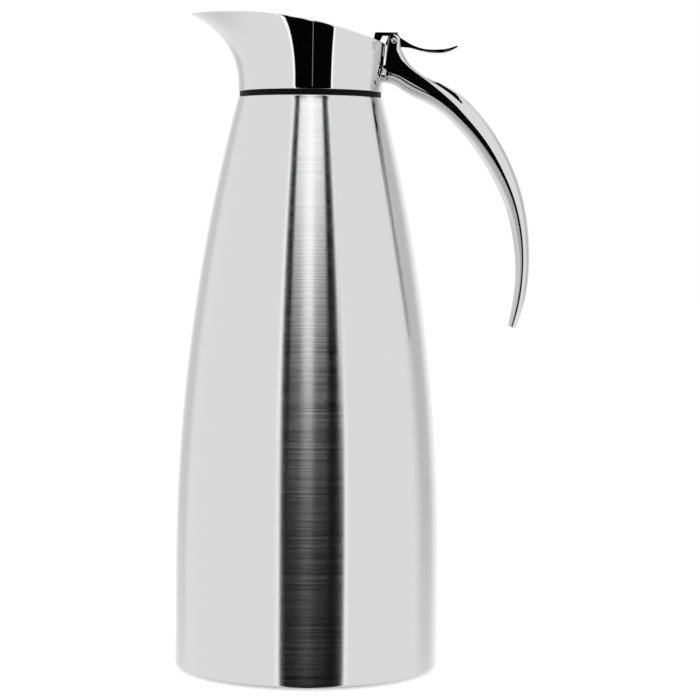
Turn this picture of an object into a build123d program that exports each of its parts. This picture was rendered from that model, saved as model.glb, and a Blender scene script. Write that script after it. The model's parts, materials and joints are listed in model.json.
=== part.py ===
from build123d import *
import math
import os

# Thermal carafe with a flip lid: a double-walled steel flask, a screwed-on pouring head with an
# open cast handle, and a lid that a thumb lever tips up.
# Millimetres. The origin is the centre of the face that the carafe stands on, +Z is up along the
# flask's axis, the lip points along -X and the handle along +X.

# ---- flask ----
body_radius = 57.5            # straight lower wall, outside
body_straight_top = 46.0      # height where the wall starts to bend inward
shoulder_height = 248.7       # top of the shell, where the gasket lies
shoulder_step = 0.1           # shell's top outside the collar
shell_wall = 0.8
shell_lift = 0.6              # the pad holds the shell this far off the table
base_corner = 3.0             # rounding at the foot of the shell
base_curl = 7.0               # flat ring turned inward under the shell
shoulder_rounding = 0.8
vacuum_gap = 3.6              # between the two walls
inner_wall = 0.6
inner_floor = 9.0             # underside of the inner flask
inner_floor_corner = 12.0
neck_bore = 25.0              # radius inside the neck
neck_wall = 0.8
neck_straight = 11.0          # straight neck below the shoulder
neck_taper = 10.0             # height over which the inner flask narrows to the neck
weld_gap = 0.03               # between pieces that are welded or pressed together
through = 1.0                 # how far a cut runs past the piece that it cuts
base_disc_wall = 0.8
base_recess = 3.0             # the disc's middle is pressed up by this much
base_recess_slope = 2.2
pad_width = 14.0
pad_gap = 0.4                 # pad to the wall of the recess
plug_radius = 4.0
plug_stem = 1.9
plug_height = 1.0
getter_radius = 5.0
getter_height = 1.6
getter_wall = 0.4
getter_offset = 20.0

# ---- gasket and thread ----
gasket_height = 2.4
gasket_inset = 0.6            # gasket's edge inside the collar's
gasket_bore_gap = 0.6         # gasket's bore outside the neck's
gasket_rib_depth = 0.35
gasket_ribs = 5               # bands in the gasket's edge, two of them grooves
thread_pitch = 5.0
thread_turns = 0.8
thread_start = 8.5            # middle of the neck's first turn, below the shoulder
thread_play = 0.4             # between flanks
thread_root_width = 1.8
thread_crest_width = 1.0
thread_sink = 0.3             # how far a thread's root reaches into its wall
thread_depth = 1.2
thread_clearance = 0.4        # from a crest to the wall that it faces

# ---- collar ----
collar_radius = 31.4          # at the bottom
collar_wall = 1.4
collar_flange = 1.0
flange_width = 2.2            # of the flange under the insert
lip_bend_start = 3.3          # above the collar's bottom
lip_bend_radius = 31.0
lip_angle = 54.0              # of the lip's underside, from the vertical
lip_flare_start = 29.5        # the last of the lip opens further from here
lip_flare_end = 33.3
lip_flare = 1.55              # by this much at the rim
lip_point = 0.22              # how much more pointed than an ellipse the lip is at its tip
lip_length = 19.8             # where it is that pointed, in front of the collar's bottom
back_bend_radius = 180.0
rim_rounding = 0.4
# the rim in side view: (outside the collar's bottom radius, above the collar's bottom)
rim_front = [(30.0, 33.35), (18.6, 33.3), (6.6, 33.1), (-7.4, 32.5), (-21.4, 30.8)]
rim_back = [(-27.4, 28.3), (-13.4, 24.7), (8.6, 19.0)]
loft_heights = [0, 2, 5, 9, 14, 19, 24, 28.4, 30.5, 32.5, 36]
outline_steps = [90, 75, 60, 45, 30, 15, 0, -15, -30, -45, -60, -75, -90]

# ---- pouring insert ----
insert_gap = 0.2              # to the collar's wall
insert_cup_wall = 1.9
insert_cup_height = 10.9      # above the collar's bottom
skirt_wall = 2.4
skirt_length = 15.0           # below the collar's bottom
seat_height = 3.9             # above the collar's bottom
mouth_step = 1.0              # the mouth is this much narrower than the skirt's bore
mouth_lip = 2.5
step_gap = 0.2                # insert's step to the flange's bore
ring_width = 1.2
ring_height = 1.0
ring_inset = 0.4
ring_gap = 0.05

# ---- hinge ----
pin_behind_collar = 4.6       # pin centre behind the collar's bottom radius
pin_height = 22.4             # above the collar's bottom
pin_radius = 1.0
pin_press = 0.01
knuckle_clearance = 0.05
knuckle_side_play = 0.25      # knuckle to the lug on each side
pin_head_radius = 1.35
pin_head_length = 0.8
pin_nut_length = 1.3
pin_in_nut = 0.975            # how far the pin reaches into its nut
pin_slot_width = 0.35
pin_slot_depth = 0.4
pin_slot_turn = 40.0          # how the slot in the pin's head happens to stand
head_gap = 0.05
lug_radius = 2.9
lug_centre = (0.3, -0.2)      # of the lug's round top, from the pin
lug_half_width = 7.5
knuckle_radius = 2.3
fork_half_width = 3.55        # half of the gap between the lugs
fork_radius = 7.4

# ---- handle ----
# stations down the handle: (outer edge), (inner edge), half width; from the pin, then down
handle_stations = [
    ((-1.5, -9.5), (-4.5, -18.1), 9.4),
    ((8.8, -11.2), (2.2, -20.1), 9.2),
    ((14.2, -15.1), (7.9, -23.5), 9.0),
    ((20.0, -17.7), (13.6, -26.1), 8.5),
    ((28.6, -22.1), (21.4, -30.9), 8.1),
    ((36.0, -28.8), (27.7, -36.8), 7.8),
    ((43.9, -38.7), (34.8, -45.0), 7.6),
    ((52.5, -54.3), (43.4, -58.4), 7.4),
    ((57.7, -69.9), (49.6, -71.8), 7.2),
    ((60.0, -85.6), (53.0, -86.2), 7.0),
    ((60.1, -101.3), (54.1, -100.7), 6.7),
    ((57.3, -117.1), (52.5, -115.8), 6.3),
    ((54.8, -124.4), (51.0, -123.2), 5.8),
]
# the lugs and the web below them in side view, from the pin: down the back, then up the front
lug_back = [(3.6, -3.6), (5.6, -7.2), (8.8, -11.2), (14.2, -15.1)]
lug_back_end = (6.0, -2.6)    # its direction where it meets the handle
lug_front = [(9.0, -18.5), (-1.6, -17.1), (-6.5, -15.5), (-6.5, -12.0), (-3.4, -11.9), (-2.8, -2.5)]
seat_gap = 0.05               # handle to collar

# ---- handle fixing ----
screw_radius = 1.5
screw_spacing = 9.0
screw_drop = 14.9             # below the pin
screw_depth = 7.0             # into the root
screw_gap = 0.05
screw_head_radius = 2.4
screw_head_length = 1.3
plate_wall = 1.3
plate_half_width = 9.0
plate_height = 6.2
plate_gap = 0.05

# ---- lid ----
cover_gap = 0.8               # cover's edge inside the collar's wall
cover_forward = -1.0          # centre of the cover, along X from the flask's axis: less is forward
cover_height = 24.7           # top of the cover on the flask's axis, above the collar's bottom
cover_slope = 0.2             # fall of the cover towards the handle
cover_wall = 0.8
cover_edge = 2.4              # depth of the cover's turned-down edge
cover_rounding = 0.4
lid_plug_gap = 3.9            # lid's plug to the cup round it, for the tip to swing
lid_plug_wall = 1.5
lid_plug_floor = 1.6
foam_gap = 0.2
seal_height = 1.5
seal_grip = 2.1               # retainer's flange over the seal
retainer_inset = 1.4          # retainer to the mouth's edge
retainer_flange = 1.5
retainer_gap = 0.05

# ---- lever ----
lever_over_lugs = 0.25        # plate to the lugs' tops
lever_plate = 0.45            # thickness of the plate over the lugs
lever_plate_end = 1.6         # past the pin
# the foot and the block in side view, from the pin: the block's back, then its front
block_back = [(-7.4, -1.4), (-5.4, 0.2)]
block_front = [(-8.2, 3.4), (-8.8, 0.7)]
foot_front = -21.0            # front of the foot
foot_back = -8.6
foot_thickness = 2.2
foot_step = 1.0               # where the block rises from the foot
# the knuckle's underside between block and pad
knuckle_under = [(-5.4, -0.1), (-1.3, -1.9), (0.0, -2.3), (1.3, -1.9)]
arm_overlap = 0.5             # how far the arm reaches into the block
pad_top = [(2.96, 1.4), (6.2, -0.62), (12.2, -3.08), (19.5, -3.62), (26.2, -2.62), (28.4, -1.95)]
pad_bottom = [(28.7, -2.6), (26.6, -3.65), (18.4, -5.14), (11.8, -4.3), (6.2, -2.85), (3.7, -2.6)]
pad_half_width = 7.0          # at the tip
pad_neck_end = 5.0            # the pad widens evenly from here to its tip
pad_end_bow = 1.2             # how far the tip's middle stands out
lid_screw_radius = 1.2
lid_screw_head = 2.2
lid_screw_head_length = 1.2
lid_screw_spacing = 9.0
lid_screw_place = -16.0       # from the pin
lid_screw_depth = 1.7

# ---- spring ----
wire_radius = 0.25
coil_radius = 1.6
coil_turns = 4.25
coil_half_length = 1.2
coil_space = 0.25             # round the wire of the coil
coil_slot_gap = 0.15          # beyond the coil's end wires
leg_up_length = 2.5
leg_down_length = 8.4
leg_gap = 0.05
leg_taper = 0.01              # legs thinner than the coil's wire

# ---- worked out ----
collar_bottom = shoulder_height + gasket_height
pin_x = collar_radius + pin_behind_collar
pin_z = collar_bottom + pin_height
neck_radius = neck_bore + neck_wall
bend_inward = body_radius - collar_radius - shoulder_step
bend_rise = shoulder_height - body_straight_top
body_bend_radius = (bend_inward**2 + bend_rise**2) / (2 * bend_inward)
insert_radius = collar_radius - collar_wall - insert_gap
flange_bore = insert_radius - flange_width
cup_radius = insert_radius - insert_cup_wall
skirt_radius = neck_bore - thread_depth - thread_clearance
skirt_bore = skirt_radius - skirt_wall
mouth_radius = skirt_bore - mouth_step
seat_z = collar_bottom + seat_height
plug_bottom = seat_z + seal_height
cover_radius = collar_radius - collar_wall - cover_gap
lid_plug_radius = cup_radius - lid_plug_gap
retainer_radius = mouth_radius - retainer_inset
seal_bore = retainer_radius - seal_grip
knuckle_half_width = fork_half_width - knuckle_side_play
lever_top = lug_centre[1] + lug_radius + lever_over_lugs + lever_plate
coil_slot_half_width = coil_half_length + wire_radius + coil_slot_gap
coil_slot_radius = coil_radius + wire_radius + coil_space
above_all = collar_bottom + 2 * lip_flare_end


def closed_face(curves):
    """A face bounded by curves that follow each other."""
    return make_face(Wire([edge for curve in curves for edge in curve.edges()]))


def side_face(curves):
    """A face in the XZ plane bounded by curves whose points are (x, z)."""
    return Plane.XZ * closed_face(curves)


def polygon(*points):
    return make_face(Plane.XZ * Polyline(*points, close=True))


def turned(*points):
    """A ring turned round the flask's axis from a section of (radius, height) points."""
    return revolve(polygon(*points), Axis.Z)


def plate(face, half_width):
    """A face in the XZ plane given a width along Y."""
    return extrude(face, half_width, both=True)


def cylinder_z(radius, low, high, x=0.0, y=0.0):
    return Pos(x, y, low) * Cylinder(radius, high - low, align=(Align.CENTER, Align.CENTER, Align.MIN))


def cylinder_y(radius, low, high, x=None, z=None):
    place = Plane((pin_x if x is None else x, low, pin_z if z is None else z), x_dir=(1, 0, 0), z_dir=(0, 1, 0))
    return place * Cylinder(radius, high - low, align=(Align.CENTER, Align.CENTER, Align.MIN))


def cylinder_x(radius, low, high, y, z):
    place = Plane((low, y, z), x_dir=(0, 1, 0), z_dir=(1, 0, 0))
    return place * Cylinder(radius, high - low, align=(Align.CENTER, Align.CENTER, Align.MIN))


def block(x, y, z):
    """A box from its (low, high) along each axis."""
    sides = [high - low for low, high in (x, y, z)]
    middle = [(high + low) / 2 for low, high in (x, y, z)]
    return Pos(*middle) * Box(*sides)


def from_pin(points):
    return [(pin_x + x, pin_z + z) for x, z in points]


def wall_radius(height, inset=0.0):
    """Radius of the flask's wall at a height, or of a surface inset from it."""
    if height <= body_straight_top:
        return body_radius - inset
    bend = body_bend_radius - inset
    return body_radius - body_bend_radius + math.sqrt(bend**2 - (height - body_straight_top)**2)


def corner_arc(x, z, radius, start, end):
    """An arc round (x, z) in a section, from one angle to another in degrees."""
    angles = [math.radians(a) for a in (start, (start + end) / 2, end)]
    return ThreePointArc(*[(x + radius * math.cos(a), z + radius * math.sin(a)) for a in angles])


def wall_solid(inset, floor, corner, top, rounding):
    """The flask's outline as a solid, inset from the outside, with a rounded floor and top edge."""
    bottom_radius = body_radius - inset
    bend_end = top - rounding
    bend_radius = wall_radius(bend_end, inset)
    middle = (body_straight_top + bend_end) / 2
    edges = [
        Line((0, floor), (bottom_radius - corner, floor)),
        corner_arc(bottom_radius - corner, floor + corner, corner, -90, 0),
        Line((bottom_radius, floor + corner), (bottom_radius, body_straight_top)),
        ThreePointArc(
            (bottom_radius, body_straight_top),
            (wall_radius(middle, inset), middle),
            (bend_radius, bend_end),
        ),
    ]
    if rounding:
        edges.append(corner_arc(bend_radius - rounding, bend_end, rounding, 0, 90))
    edges.append(Line((bend_radius - rounding, top), (0, top)))
    edges.append(Line((0, top), (0, floor)))
    return revolve(side_face(edges), Axis.Z)


def thread(root, crest, start, inward):
    """A helical ridge standing on a wall of radius root."""
    sink = thread_sink if inward else -thread_sink
    half_root = thread_root_width / 2
    half_crest = thread_crest_width / 2
    section = polygon(
        (root + sink, -half_root),
        (root + sink, half_root),
        (crest, half_crest),
        (crest, -half_crest),
    )
    path = Helix(thread_pitch, thread_pitch * thread_turns, root)
    return Pos(0, 0, start) * sweep(section, path=path, is_frenet=True)


# ---- flask pieces ----
def outer_shell():
    shell = wall_solid(0, shell_lift, base_corner, shoulder_height, shoulder_rounding)
    shell -= wall_solid(
        shell_wall,
        shell_lift + shell_wall,
        base_corner - shell_wall,
        shoulder_height - shell_wall,
        0,
    )
    foot_hole = body_radius - base_corner - base_curl
    shell -= cylinder_z(foot_hole, 0, shell_lift + shell_wall + through)
    return shell - cylinder_z(neck_radius + weld_gap, shoulder_height - 2 * shell_wall, shoulder_height + through)


def outer_base():
    low = shell_lift + shell_wall
    high = low + base_disc_wall
    edge = body_radius - base_corner
    recess = edge - base_curl - pad_gap
    disc = turned(
        (0, low + base_recess),
        (recess - base_recess_slope, low + base_recess),
        (recess, low),
        (edge, low),
        (edge, high),
        (recess - pad_gap, high),
        (recess - pad_gap - base_recess_slope, high + base_recess),
        (0, high + base_recess),
    )
    return disc - cylinder_z(plug_stem + weld_gap, low, high + base_recess + through)


def base_pad():
    top = shell_lift + shell_wall + base_recess
    outer = body_radius - base_corner - base_curl - 2 * pad_gap - base_recess_slope
    pad = cylinder_z(outer, 0, top) - cylinder_z(outer - pad_width, 0, top)
    return chamfer(pad.edges().group_by(Axis.Z)[0], pad_gap)


def vacuum_plug():
    disc_under = shell_lift + shell_wall + base_recess
    stem = cylinder_z(plug_stem, disc_under - plug_height / 2, disc_under + base_disc_wall + plug_height / 2)
    return stem + cylinder_z(plug_radius, disc_under - plug_height, disc_under)


def getter_cup():
    low = shell_lift + shell_wall + base_recess + base_disc_wall
    cup = cylinder_z(getter_radius, low, low + getter_height, x=getter_offset)
    hollow = getter_radius - getter_wall
    return cup - cylinder_z(hollow, low + getter_wall, low + getter_height, x=getter_offset)


def inner_flask_solid(inset, floor, corner, bore):
    """Outline of the inner flask: wall and floor to the neck, whose radius is bore."""
    neck_bottom = shoulder_height - neck_straight
    turn = neck_bottom - neck_taper
    body = wall_solid(inset, floor, corner, turn, 0)
    cone = turned((0, turn), (wall_radius(turn, inset), turn), (bore, neck_bottom), (0, neck_bottom))
    return body + cone + cylinder_z(bore, neck_bottom, shoulder_height)


def inner_flask():
    outside = shell_wall + vacuum_gap
    flask = inner_flask_solid(outside, inner_floor, inner_floor_corner, neck_radius)
    flask -= inner_flask_solid(
        outside + inner_wall,
        inner_floor + inner_wall,
        inner_floor_corner - inner_wall,
        neck_bore,
    )
    start = shoulder_height - thread_start
    return flask + thread(neck_bore, neck_bore - thread_depth, start, inward=True)


# ---- gasket ----
def neck_gasket():
    outer = collar_radius - gasket_inset
    bore = neck_bore + gasket_bore_gap
    band = gasket_height / gasket_ribs
    points = [(bore, shoulder_height), (outer, shoulder_height)]
    for groove in range(1, gasket_ribs, 2):
        low = shoulder_height + groove * band
        points += [(outer, low), (outer - gasket_rib_depth, low + band / 2), (outer, low + band)]
    return turned(*points, (outer, collar_bottom), (bore, collar_bottom))


# ---- head pieces ----
def lip_reach(height, inset):
    """How far the collar's front lies from the flask's axis, at a height above its bottom."""
    rise = max(0.0, height - lip_bend_start)
    bend = lip_bend_radius + inset
    steepest = math.radians(lip_angle)
    bend_height = bend * math.sin(steepest)
    if rise <= bend_height:
        return collar_radius - inset + bend - math.sqrt(bend**2 - rise**2)
    straight = (rise - bend_height) * math.tan(steepest)
    flare = max(0.0, height - lip_flare_start) / (lip_flare_end - lip_flare_start)
    return collar_radius - inset + bend * (1 - math.cos(steepest)) + straight + lip_flare * flare**2


def back_reach(height, inset):
    bend = back_bend_radius + inset
    return collar_radius - inset + bend - math.sqrt(bend**2 - max(0.0, height)**2)


def lip_outline(height, inset):
    """The collar's front in plan: half an ellipse that grows more pointed as the lip reaches out."""
    reach = lip_reach(height, inset)
    half_width = collar_radius - inset
    pointed = lip_point * (reach - half_width) / lip_length
    points = []
    for step in outline_steps:
        x = -reach * max(0.0, math.cos(math.radians(step))) ** (2 / (2 - pointed))
        points.append((x, half_width * math.sin(math.radians(step))))
    return Spline(*points, tangents=[(-1, 0), (1, 0)], tangent_scalars=[1, 1])


def collar_solid(inset, below=0.0):
    """The collar's outline before its rim is cut."""
    half_width = collar_radius - inset
    sections = []
    for height in loft_heights:
        front = lip_outline(height, inset)
        back = EllipticalCenterArc((0, 0), back_reach(height, inset), half_width, 270, arc_size=180)
        drop = below if height == 0 else 0.0
        sections.append(Pos(0, 0, collar_bottom + height - drop) * closed_face([front, back]))
    return loft(sections)


def above_rim():
    """Everything above the rim, as wide as the collar."""
    line = [(-collar_radius - x, collar_bottom + z) for x, z in rim_front]
    line += [(collar_radius + x, collar_bottom + z) for x, z in rim_back]
    (x0, z0), (x1, z1) = line[0], line[-1]
    edges = [
        Spline(*line),
        Polyline((x1, z1), (x1, above_all), (x0, above_all), (x0, z0)),
    ]
    return plate(side_face(edges), 2 * collar_radius)


def collar():
    outside = collar_solid(0)
    reach = 4 * collar_radius
    inside = collar_solid(collar_wall)
    inside &= block((-reach, reach), (-reach, reach), (collar_bottom + collar_flange, above_all))
    shell = outside - inside - above_rim()
    shell -= cylinder_z(flange_bore, collar_bottom - through, collar_bottom + collar_flange + through)
    lowest = collar_bottom + rim_back[-1][1]
    rim = [e for e in shell.edges() if e.center().Z > lowest and e.length > collar_radius]
    shell = fillet(rim, rim_rounding)
    return shell - fixing_holes(screw_radius + screw_gap, cup_radius, collar_radius + screw_depth)


def fixing_holes(radius, start, end):
    """Two cylinders along X on the handle screws' axes."""
    height = pin_z - screw_drop
    sides = (-screw_spacing / 2, screw_spacing / 2)
    return Compound([cylinder_x(radius, start, end, y, height) for y in sides])


def ring_groove(gap):
    """The seal ring's section between insert and flange, grown by a gap."""
    outer = insert_radius - ring_inset
    floor = collar_bottom + collar_flange
    ring = cylinder_z(outer + gap, floor, floor + ring_height + gap)
    return ring - cylinder_z(outer - ring_width - gap, floor, floor + ring_height + gap)


def collar_seal():
    return ring_groove(0)


def pouring_insert():
    bottom = collar_bottom - skirt_length
    flange_top = collar_bottom + collar_flange
    step = flange_bore - step_gap
    cup_top = collar_bottom + insert_cup_height
    insert = turned(
        (skirt_bore, bottom),
        (skirt_radius, bottom),
        (skirt_radius, collar_bottom),
        (step, collar_bottom),
        (step, flange_top),
        (insert_radius, flange_top),
        (insert_radius, cup_top),
        (cup_radius, cup_top),
        (cup_radius, seat_z),
        (mouth_radius, seat_z),
        (mouth_radius, seat_z - mouth_lip),
        (skirt_bore, seat_z - mouth_lip - mouth_step),
    )
    start = shoulder_height - thread_start - thread_crest_width - thread_play
    start -= (thread_root_width - thread_crest_width) / 4
    insert += thread(skirt_radius, skirt_radius + thread_depth, start, inward=False)
    insert -= ring_groove(ring_gap)
    return insert - fixing_holes(screw_radius + screw_gap, screw_seat(), collar_radius)


def handle_backing_plate():
    outer = cup_radius - plate_gap
    middle = pin_z - screw_drop
    low = max(seat_z + plate_gap, middle - plate_height / 2)
    high = middle + plate_height / 2
    shell = cylinder_z(outer, low, high) - cylinder_z(outer - plate_wall, low, high)
    shell &= block((0, 2 * outer), (-plate_half_width, plate_half_width), (low, high))
    shell -= fixing_holes(screw_radius + screw_gap, 0, 2 * outer)
    return shell - fixing_holes(screw_head_radius + screw_gap, 0, screw_seat())


def screw_seat():
    """Where the heads of the handle screws bear on the backing plate, along X."""
    inner = cup_radius - plate_gap - plate_wall
    return math.sqrt(inner**2 - (screw_spacing / 2)**2)


def handle_screws():
    seat = screw_seat()
    head = fixing_holes(screw_head_radius, seat - screw_head_length, seat)
    socket = fixing_holes(screw_radius, seat - screw_head_length, seat - screw_head_length / 2)
    shank = fixing_holes(screw_radius, seat, collar_radius + screw_depth)
    screws = []
    for h, hole, s in zip(head.solids(), socket.solids(), shank.solids()):
        screws.append(h - hole + s)
    return Compound(screws)


def handle_station(outer, inner, half_width):
    """An elliptical section of the handle across the line from its inner to its outer edge."""
    (x1, z1), (x0, z0) = from_pin([outer, inner])
    across = Vector(x1 - x0, 0, z1 - z0)
    middle = ((x1 + x0) / 2, 0, (z1 + z0) / 2)
    plane = Plane(middle, x_dir=across, z_dir=Vector(0, 1, 0).cross(across))
    return plane * Ellipse(across.length / 2, half_width)


def handle():
    sections = [handle_station(*station) for station in handle_stations]
    blade = loft(sections)
    blade &= block((0, 4 * body_radius), (-lug_half_width, lug_half_width), (0, 2 * pin_z))
    [(middle_x, middle_z)] = from_pin([lug_centre])
    top = corner_arc(middle_x, middle_z, lug_radius, 180, 0)
    front = from_pin(lug_front)
    back = from_pin(lug_back)
    edges = [
        top,
        Spline(
            (middle_x + lug_radius, middle_z),
            *back,
            tangents=[(0, -1), lug_back_end],
        ),
        Polyline(back[-1], *front, (middle_x - lug_radius, middle_z)),
    ]
    body = blade + plate(side_face(edges), lug_half_width)
    body -= collar_solid(-seat_gap, below=1.0)
    body -= cylinder_y(fork_radius, -fork_half_width, fork_half_width)
    side = lug_half_width + through
    body -= cylinder_y(pin_radius + pin_press, -side, side)
    head_seat = pin_head_radius + head_gap
    body -= cylinder_y(head_seat, -side, pin_head_length + head_gap - lug_half_width)
    body -= cylinder_y(head_seat, lug_half_width - pin_nut_length - head_gap, side)
    body -= fixing_holes(screw_radius + screw_gap, cup_radius, collar_radius + screw_depth + screw_gap)
    body -= spring_anchor()
    return body.solids().sort_by(SortBy.VOLUME)[-1]


def spring_anchor():
    """The hole in the fork's floor that takes the spring's lower leg."""
    low = pin_z - leg_down_length - leg_gap
    return cylinder_z(wire_radius + leg_gap, low, pin_z - knuckle_radius, pin_x - coil_radius, -coil_half_length)


def hinge_pin():
    pin = cylinder_y(pin_radius, -lug_half_width, lug_half_width - pin_nut_length + pin_in_nut)
    pin += cylinder_y(pin_head_radius, -lug_half_width, pin_head_length - lug_half_width)
    slot = Box(4 * pin_head_radius, 2 * pin_slot_depth, pin_slot_width)
    return pin - Pos(pin_x, -lug_half_width, pin_z) * Rot(0, pin_slot_turn, 0) * slot


def pin_cap_nut():
    low = lug_half_width - pin_nut_length
    nut = cylinder_y(pin_head_radius, low, lug_half_width)
    return nut - cylinder_y(pin_radius + pin_press, low, low + pin_in_nut + pin_press)


def lid_spring():
    place = Plane((pin_x, -coil_half_length, pin_z), x_dir=(-1, 0, 0), z_dir=(0, 1, 0))
    length = 2 * coil_half_length
    path = Helix(length / coil_turns, length, coil_radius)
    section = Plane((coil_radius, 0, 0), x_dir=(1, 0, 0), z_dir=(0, 1, 0)) * Circle(wire_radius)
    coil = place * sweep(section, path=path, is_frenet=True)
    leg_radius = wire_radius - leg_taper
    start = wire_radius / 2
    low = pin_z - leg_down_length
    down = cylinder_z(leg_radius, low, pin_z + start, pin_x - coil_radius, -coil_half_length)
    up = cylinder_x(leg_radius, pin_x - start, pin_x + leg_up_length, coil_half_length, pin_z + coil_radius)
    return coil + down + up


# ---- lid pieces ----
def cover_top(x):
    """Height of the cover's top at a distance along X."""
    return collar_bottom + cover_height - cover_slope * x


def below_cover(depth):
    """Everything below the cover's top by a depth measured square to it."""
    drop = depth * math.sqrt(1 + cover_slope**2)
    reach = 2 * collar_radius
    return plate(
        polygon(
            (-reach, 0),
            (reach, 0),
            (reach, cover_top(reach) - drop),
            (-reach, cover_top(-reach) - drop),
        ),
        reach,
    )


def cover_plane():
    """The middle of the cover's top, square to it."""
    x = cover_forward
    return Plane((x, 0, cover_top(x)), x_dir=(1, 0, -cover_slope), z_dir=(cover_slope, 0, 1))


def lid_cover():
    cover = cover_plane() * Pos(0, 0, -cover_edge / 2) * Cylinder(cover_radius, cover_edge)
    hollow = cover_plane() * Pos(0, 0, -cover_wall - cover_edge / 2) * Cylinder(
        cover_radius - cover_wall, cover_edge
    )
    top_edge = cover.edges().sort_by(Axis.Z)[-1]
    cover = fillet(top_edge, cover_rounding) - hollow
    return cover - lid_screw_cylinders(lid_screw_radius + screw_gap, -2 * cover_wall, through)


def lid_screw_cylinders(radius, low, high):
    """Two cylinders square to the cover on the lid screws' axes, from low to high above its top."""
    x = pin_x + lid_screw_place
    found = []
    for y in (-lid_screw_spacing / 2, lid_screw_spacing / 2):
        place = Plane((x, y, cover_top(x)), x_dir=(1, 0, -cover_slope), z_dir=(cover_slope, 0, 1))
        screw = place * Pos(0, 0, low) * Cylinder(
            radius, high - low, align=(Align.CENTER, Align.CENTER, Align.MIN)
        )
        found.append(screw)
    return Compound(found)


def lid_screws():
    heads = lid_screw_cylinders(lid_screw_head, -cover_wall - lid_screw_head_length, -cover_wall)
    shanks = lid_screw_cylinders(lid_screw_radius, -cover_wall, lid_screw_depth)
    return Compound([h + s for h, s in zip(heads.solids(), shanks.solids())])


def lid_plug():
    plug = cylinder_z(lid_plug_radius, plug_bottom, above_all)
    plug -= cylinder_z(lid_plug_radius - lid_plug_wall, plug_bottom + lid_plug_floor, above_all)
    return plug & below_cover(cover_wall)


def lid_foam():
    low = plug_bottom + lid_plug_floor
    foam = cylinder_z(lid_plug_radius - lid_plug_wall - foam_gap, low, above_all)
    foam &= below_cover(cover_wall + foam_gap)
    depth = cover_wall + lid_screw_head_length + foam_gap
    return foam - lid_screw_cylinders(lid_screw_head + foam_gap, -depth, through)


def lid_seal():
    return cylinder_z(lid_plug_radius, seat_z, plug_bottom) - cylinder_z(seal_bore, seat_z, plug_bottom)


def seal_retainer():
    hub = cylinder_z(seal_bore - retainer_gap, seat_z - retainer_flange, plug_bottom)
    return hub + cylinder_z(retainer_radius, seat_z - retainer_flange, seat_z)


def lever_wide():
    """Foot, block and the plate over the lugs, in side view."""
    front = pin_x + foot_front
    back = pin_x + foot_back
    step = from_pin(block_front)[-1][0] - foot_step
    top = pin_z + lever_top
    plate_floor = top - lever_plate
    plate_end = pin_x + lever_plate_end
    outline = [
        (front, cover_top(front)),
        (back, cover_top(back)),
        *from_pin(block_back),
        (pin_x + block_back[-1][0], plate_floor),
        (plate_end, plate_floor),
        (plate_end, top),
        (pin_x + block_front[0][0], top),
        from_pin(block_front)[-1],
        (step, cover_top(step) + foot_thickness),
        (front, cover_top(front) + foot_thickness),
    ]
    return plate(polygon(*outline), lug_half_width)


def lever_arm():
    """The narrow arm and knuckle between the lugs."""
    top = pin_z + lever_top
    front = pin_x + block_back[-1][0] - arm_overlap
    outline = [
        (front, top),
        (front, pin_z),
        *from_pin(knuckle_under),
        *from_pin(pad_bottom[:-3:-1]),
        *from_pin(pad_top[1::-1]),
        (pin_x + lever_plate_end, top),
    ]
    arm = plate(polygon(*outline), knuckle_half_width)
    return arm + cylinder_y(knuckle_radius, -knuckle_half_width, knuckle_half_width)


def lever_pad():
    """The curved thumb pad: its side view within its plan."""
    top = from_pin(pad_top)
    bottom = from_pin(pad_bottom)
    edges = [Spline(*top), Line(top[-1], bottom[0]), Spline(*bottom), Line(bottom[-1], top[0])]
    side = plate(side_face(edges), pad_half_width)
    neck = pin_x + pad_neck_end
    tip = pin_x + pad_bottom[0][0]
    start = pin_x + pad_top[0][0] - through
    wide = tip - pad_end_bow
    outline = [
        Polyline((wide, -pad_half_width), (neck, -knuckle_half_width), (start, -knuckle_half_width),
                 (start, knuckle_half_width), (neck, knuckle_half_width), (wide, pad_half_width)),
        ThreePointArc((wide, pad_half_width), (tip, 0), (wide, -pad_half_width)),
    ]
    return side & extrude(closed_face(outline), 2 * pin_z)


def lid_lever():
    lever = lever_wide() + lever_arm() + lever_pad()
    side = lug_half_width + through
    lever -= cylinder_y(pin_radius + knuckle_clearance, -side, side)
    slot = coil_slot_half_width
    lever -= cylinder_y(coil_slot_radius, -slot, slot)
    below = (pin_z - 2 * knuckle_radius, pin_z)
    lever -= block((pin_x - coil_slot_radius, pin_x + wire_radius), (-slot, slot), below)
    groove = wire_radius + leg_gap
    lever -= block(
        (pin_x, pin_x + leg_up_length + leg_gap),
        (coil_half_length - groove, slot),
        (pin_z + coil_radius - groove, pin_z + coil_radius + groove),
    )
    return lever - lid_screw_cylinders(lid_screw_radius + pin_press, -through, lid_screw_depth + leg_gap)


PIECES = {
    "outer_shell": outer_shell,
    "outer_base": outer_base,
    "base_pad": base_pad,
    "vacuum_plug": vacuum_plug,
    "getter_cup": getter_cup,
    "inner_flask": inner_flask,
    "neck_gasket": neck_gasket,
    "collar": collar,
    "collar_seal": collar_seal,
    "pouring_insert": pouring_insert,
    "handle_backing_plate": handle_backing_plate,
    "handle_screws": handle_screws,
    "handle": handle,
    "hinge_pin": hinge_pin,
    "pin_cap_nut": pin_cap_nut,
    "lid_spring": lid_spring,
    "lid_lever": lid_lever,
    "lid_cover": lid_cover,
    "lid_screws": lid_screws,
    "lid_plug": lid_plug,
    "lid_foam": lid_foam,
    "lid_seal": lid_seal,
    "seal_retainer": seal_retainer,
}

os.makedirs("parts", exist_ok=True)
for name, make in PIECES.items():
    export_step(make(), f"parts/{name}.step")
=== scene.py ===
"""Thermal carafe with a flip lid: finished pieces on the carafe's frame, with light and camera.

Lengths in the tables and outlines below are millimetres; meshes are made in metres.
"""

import json
import math

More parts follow.
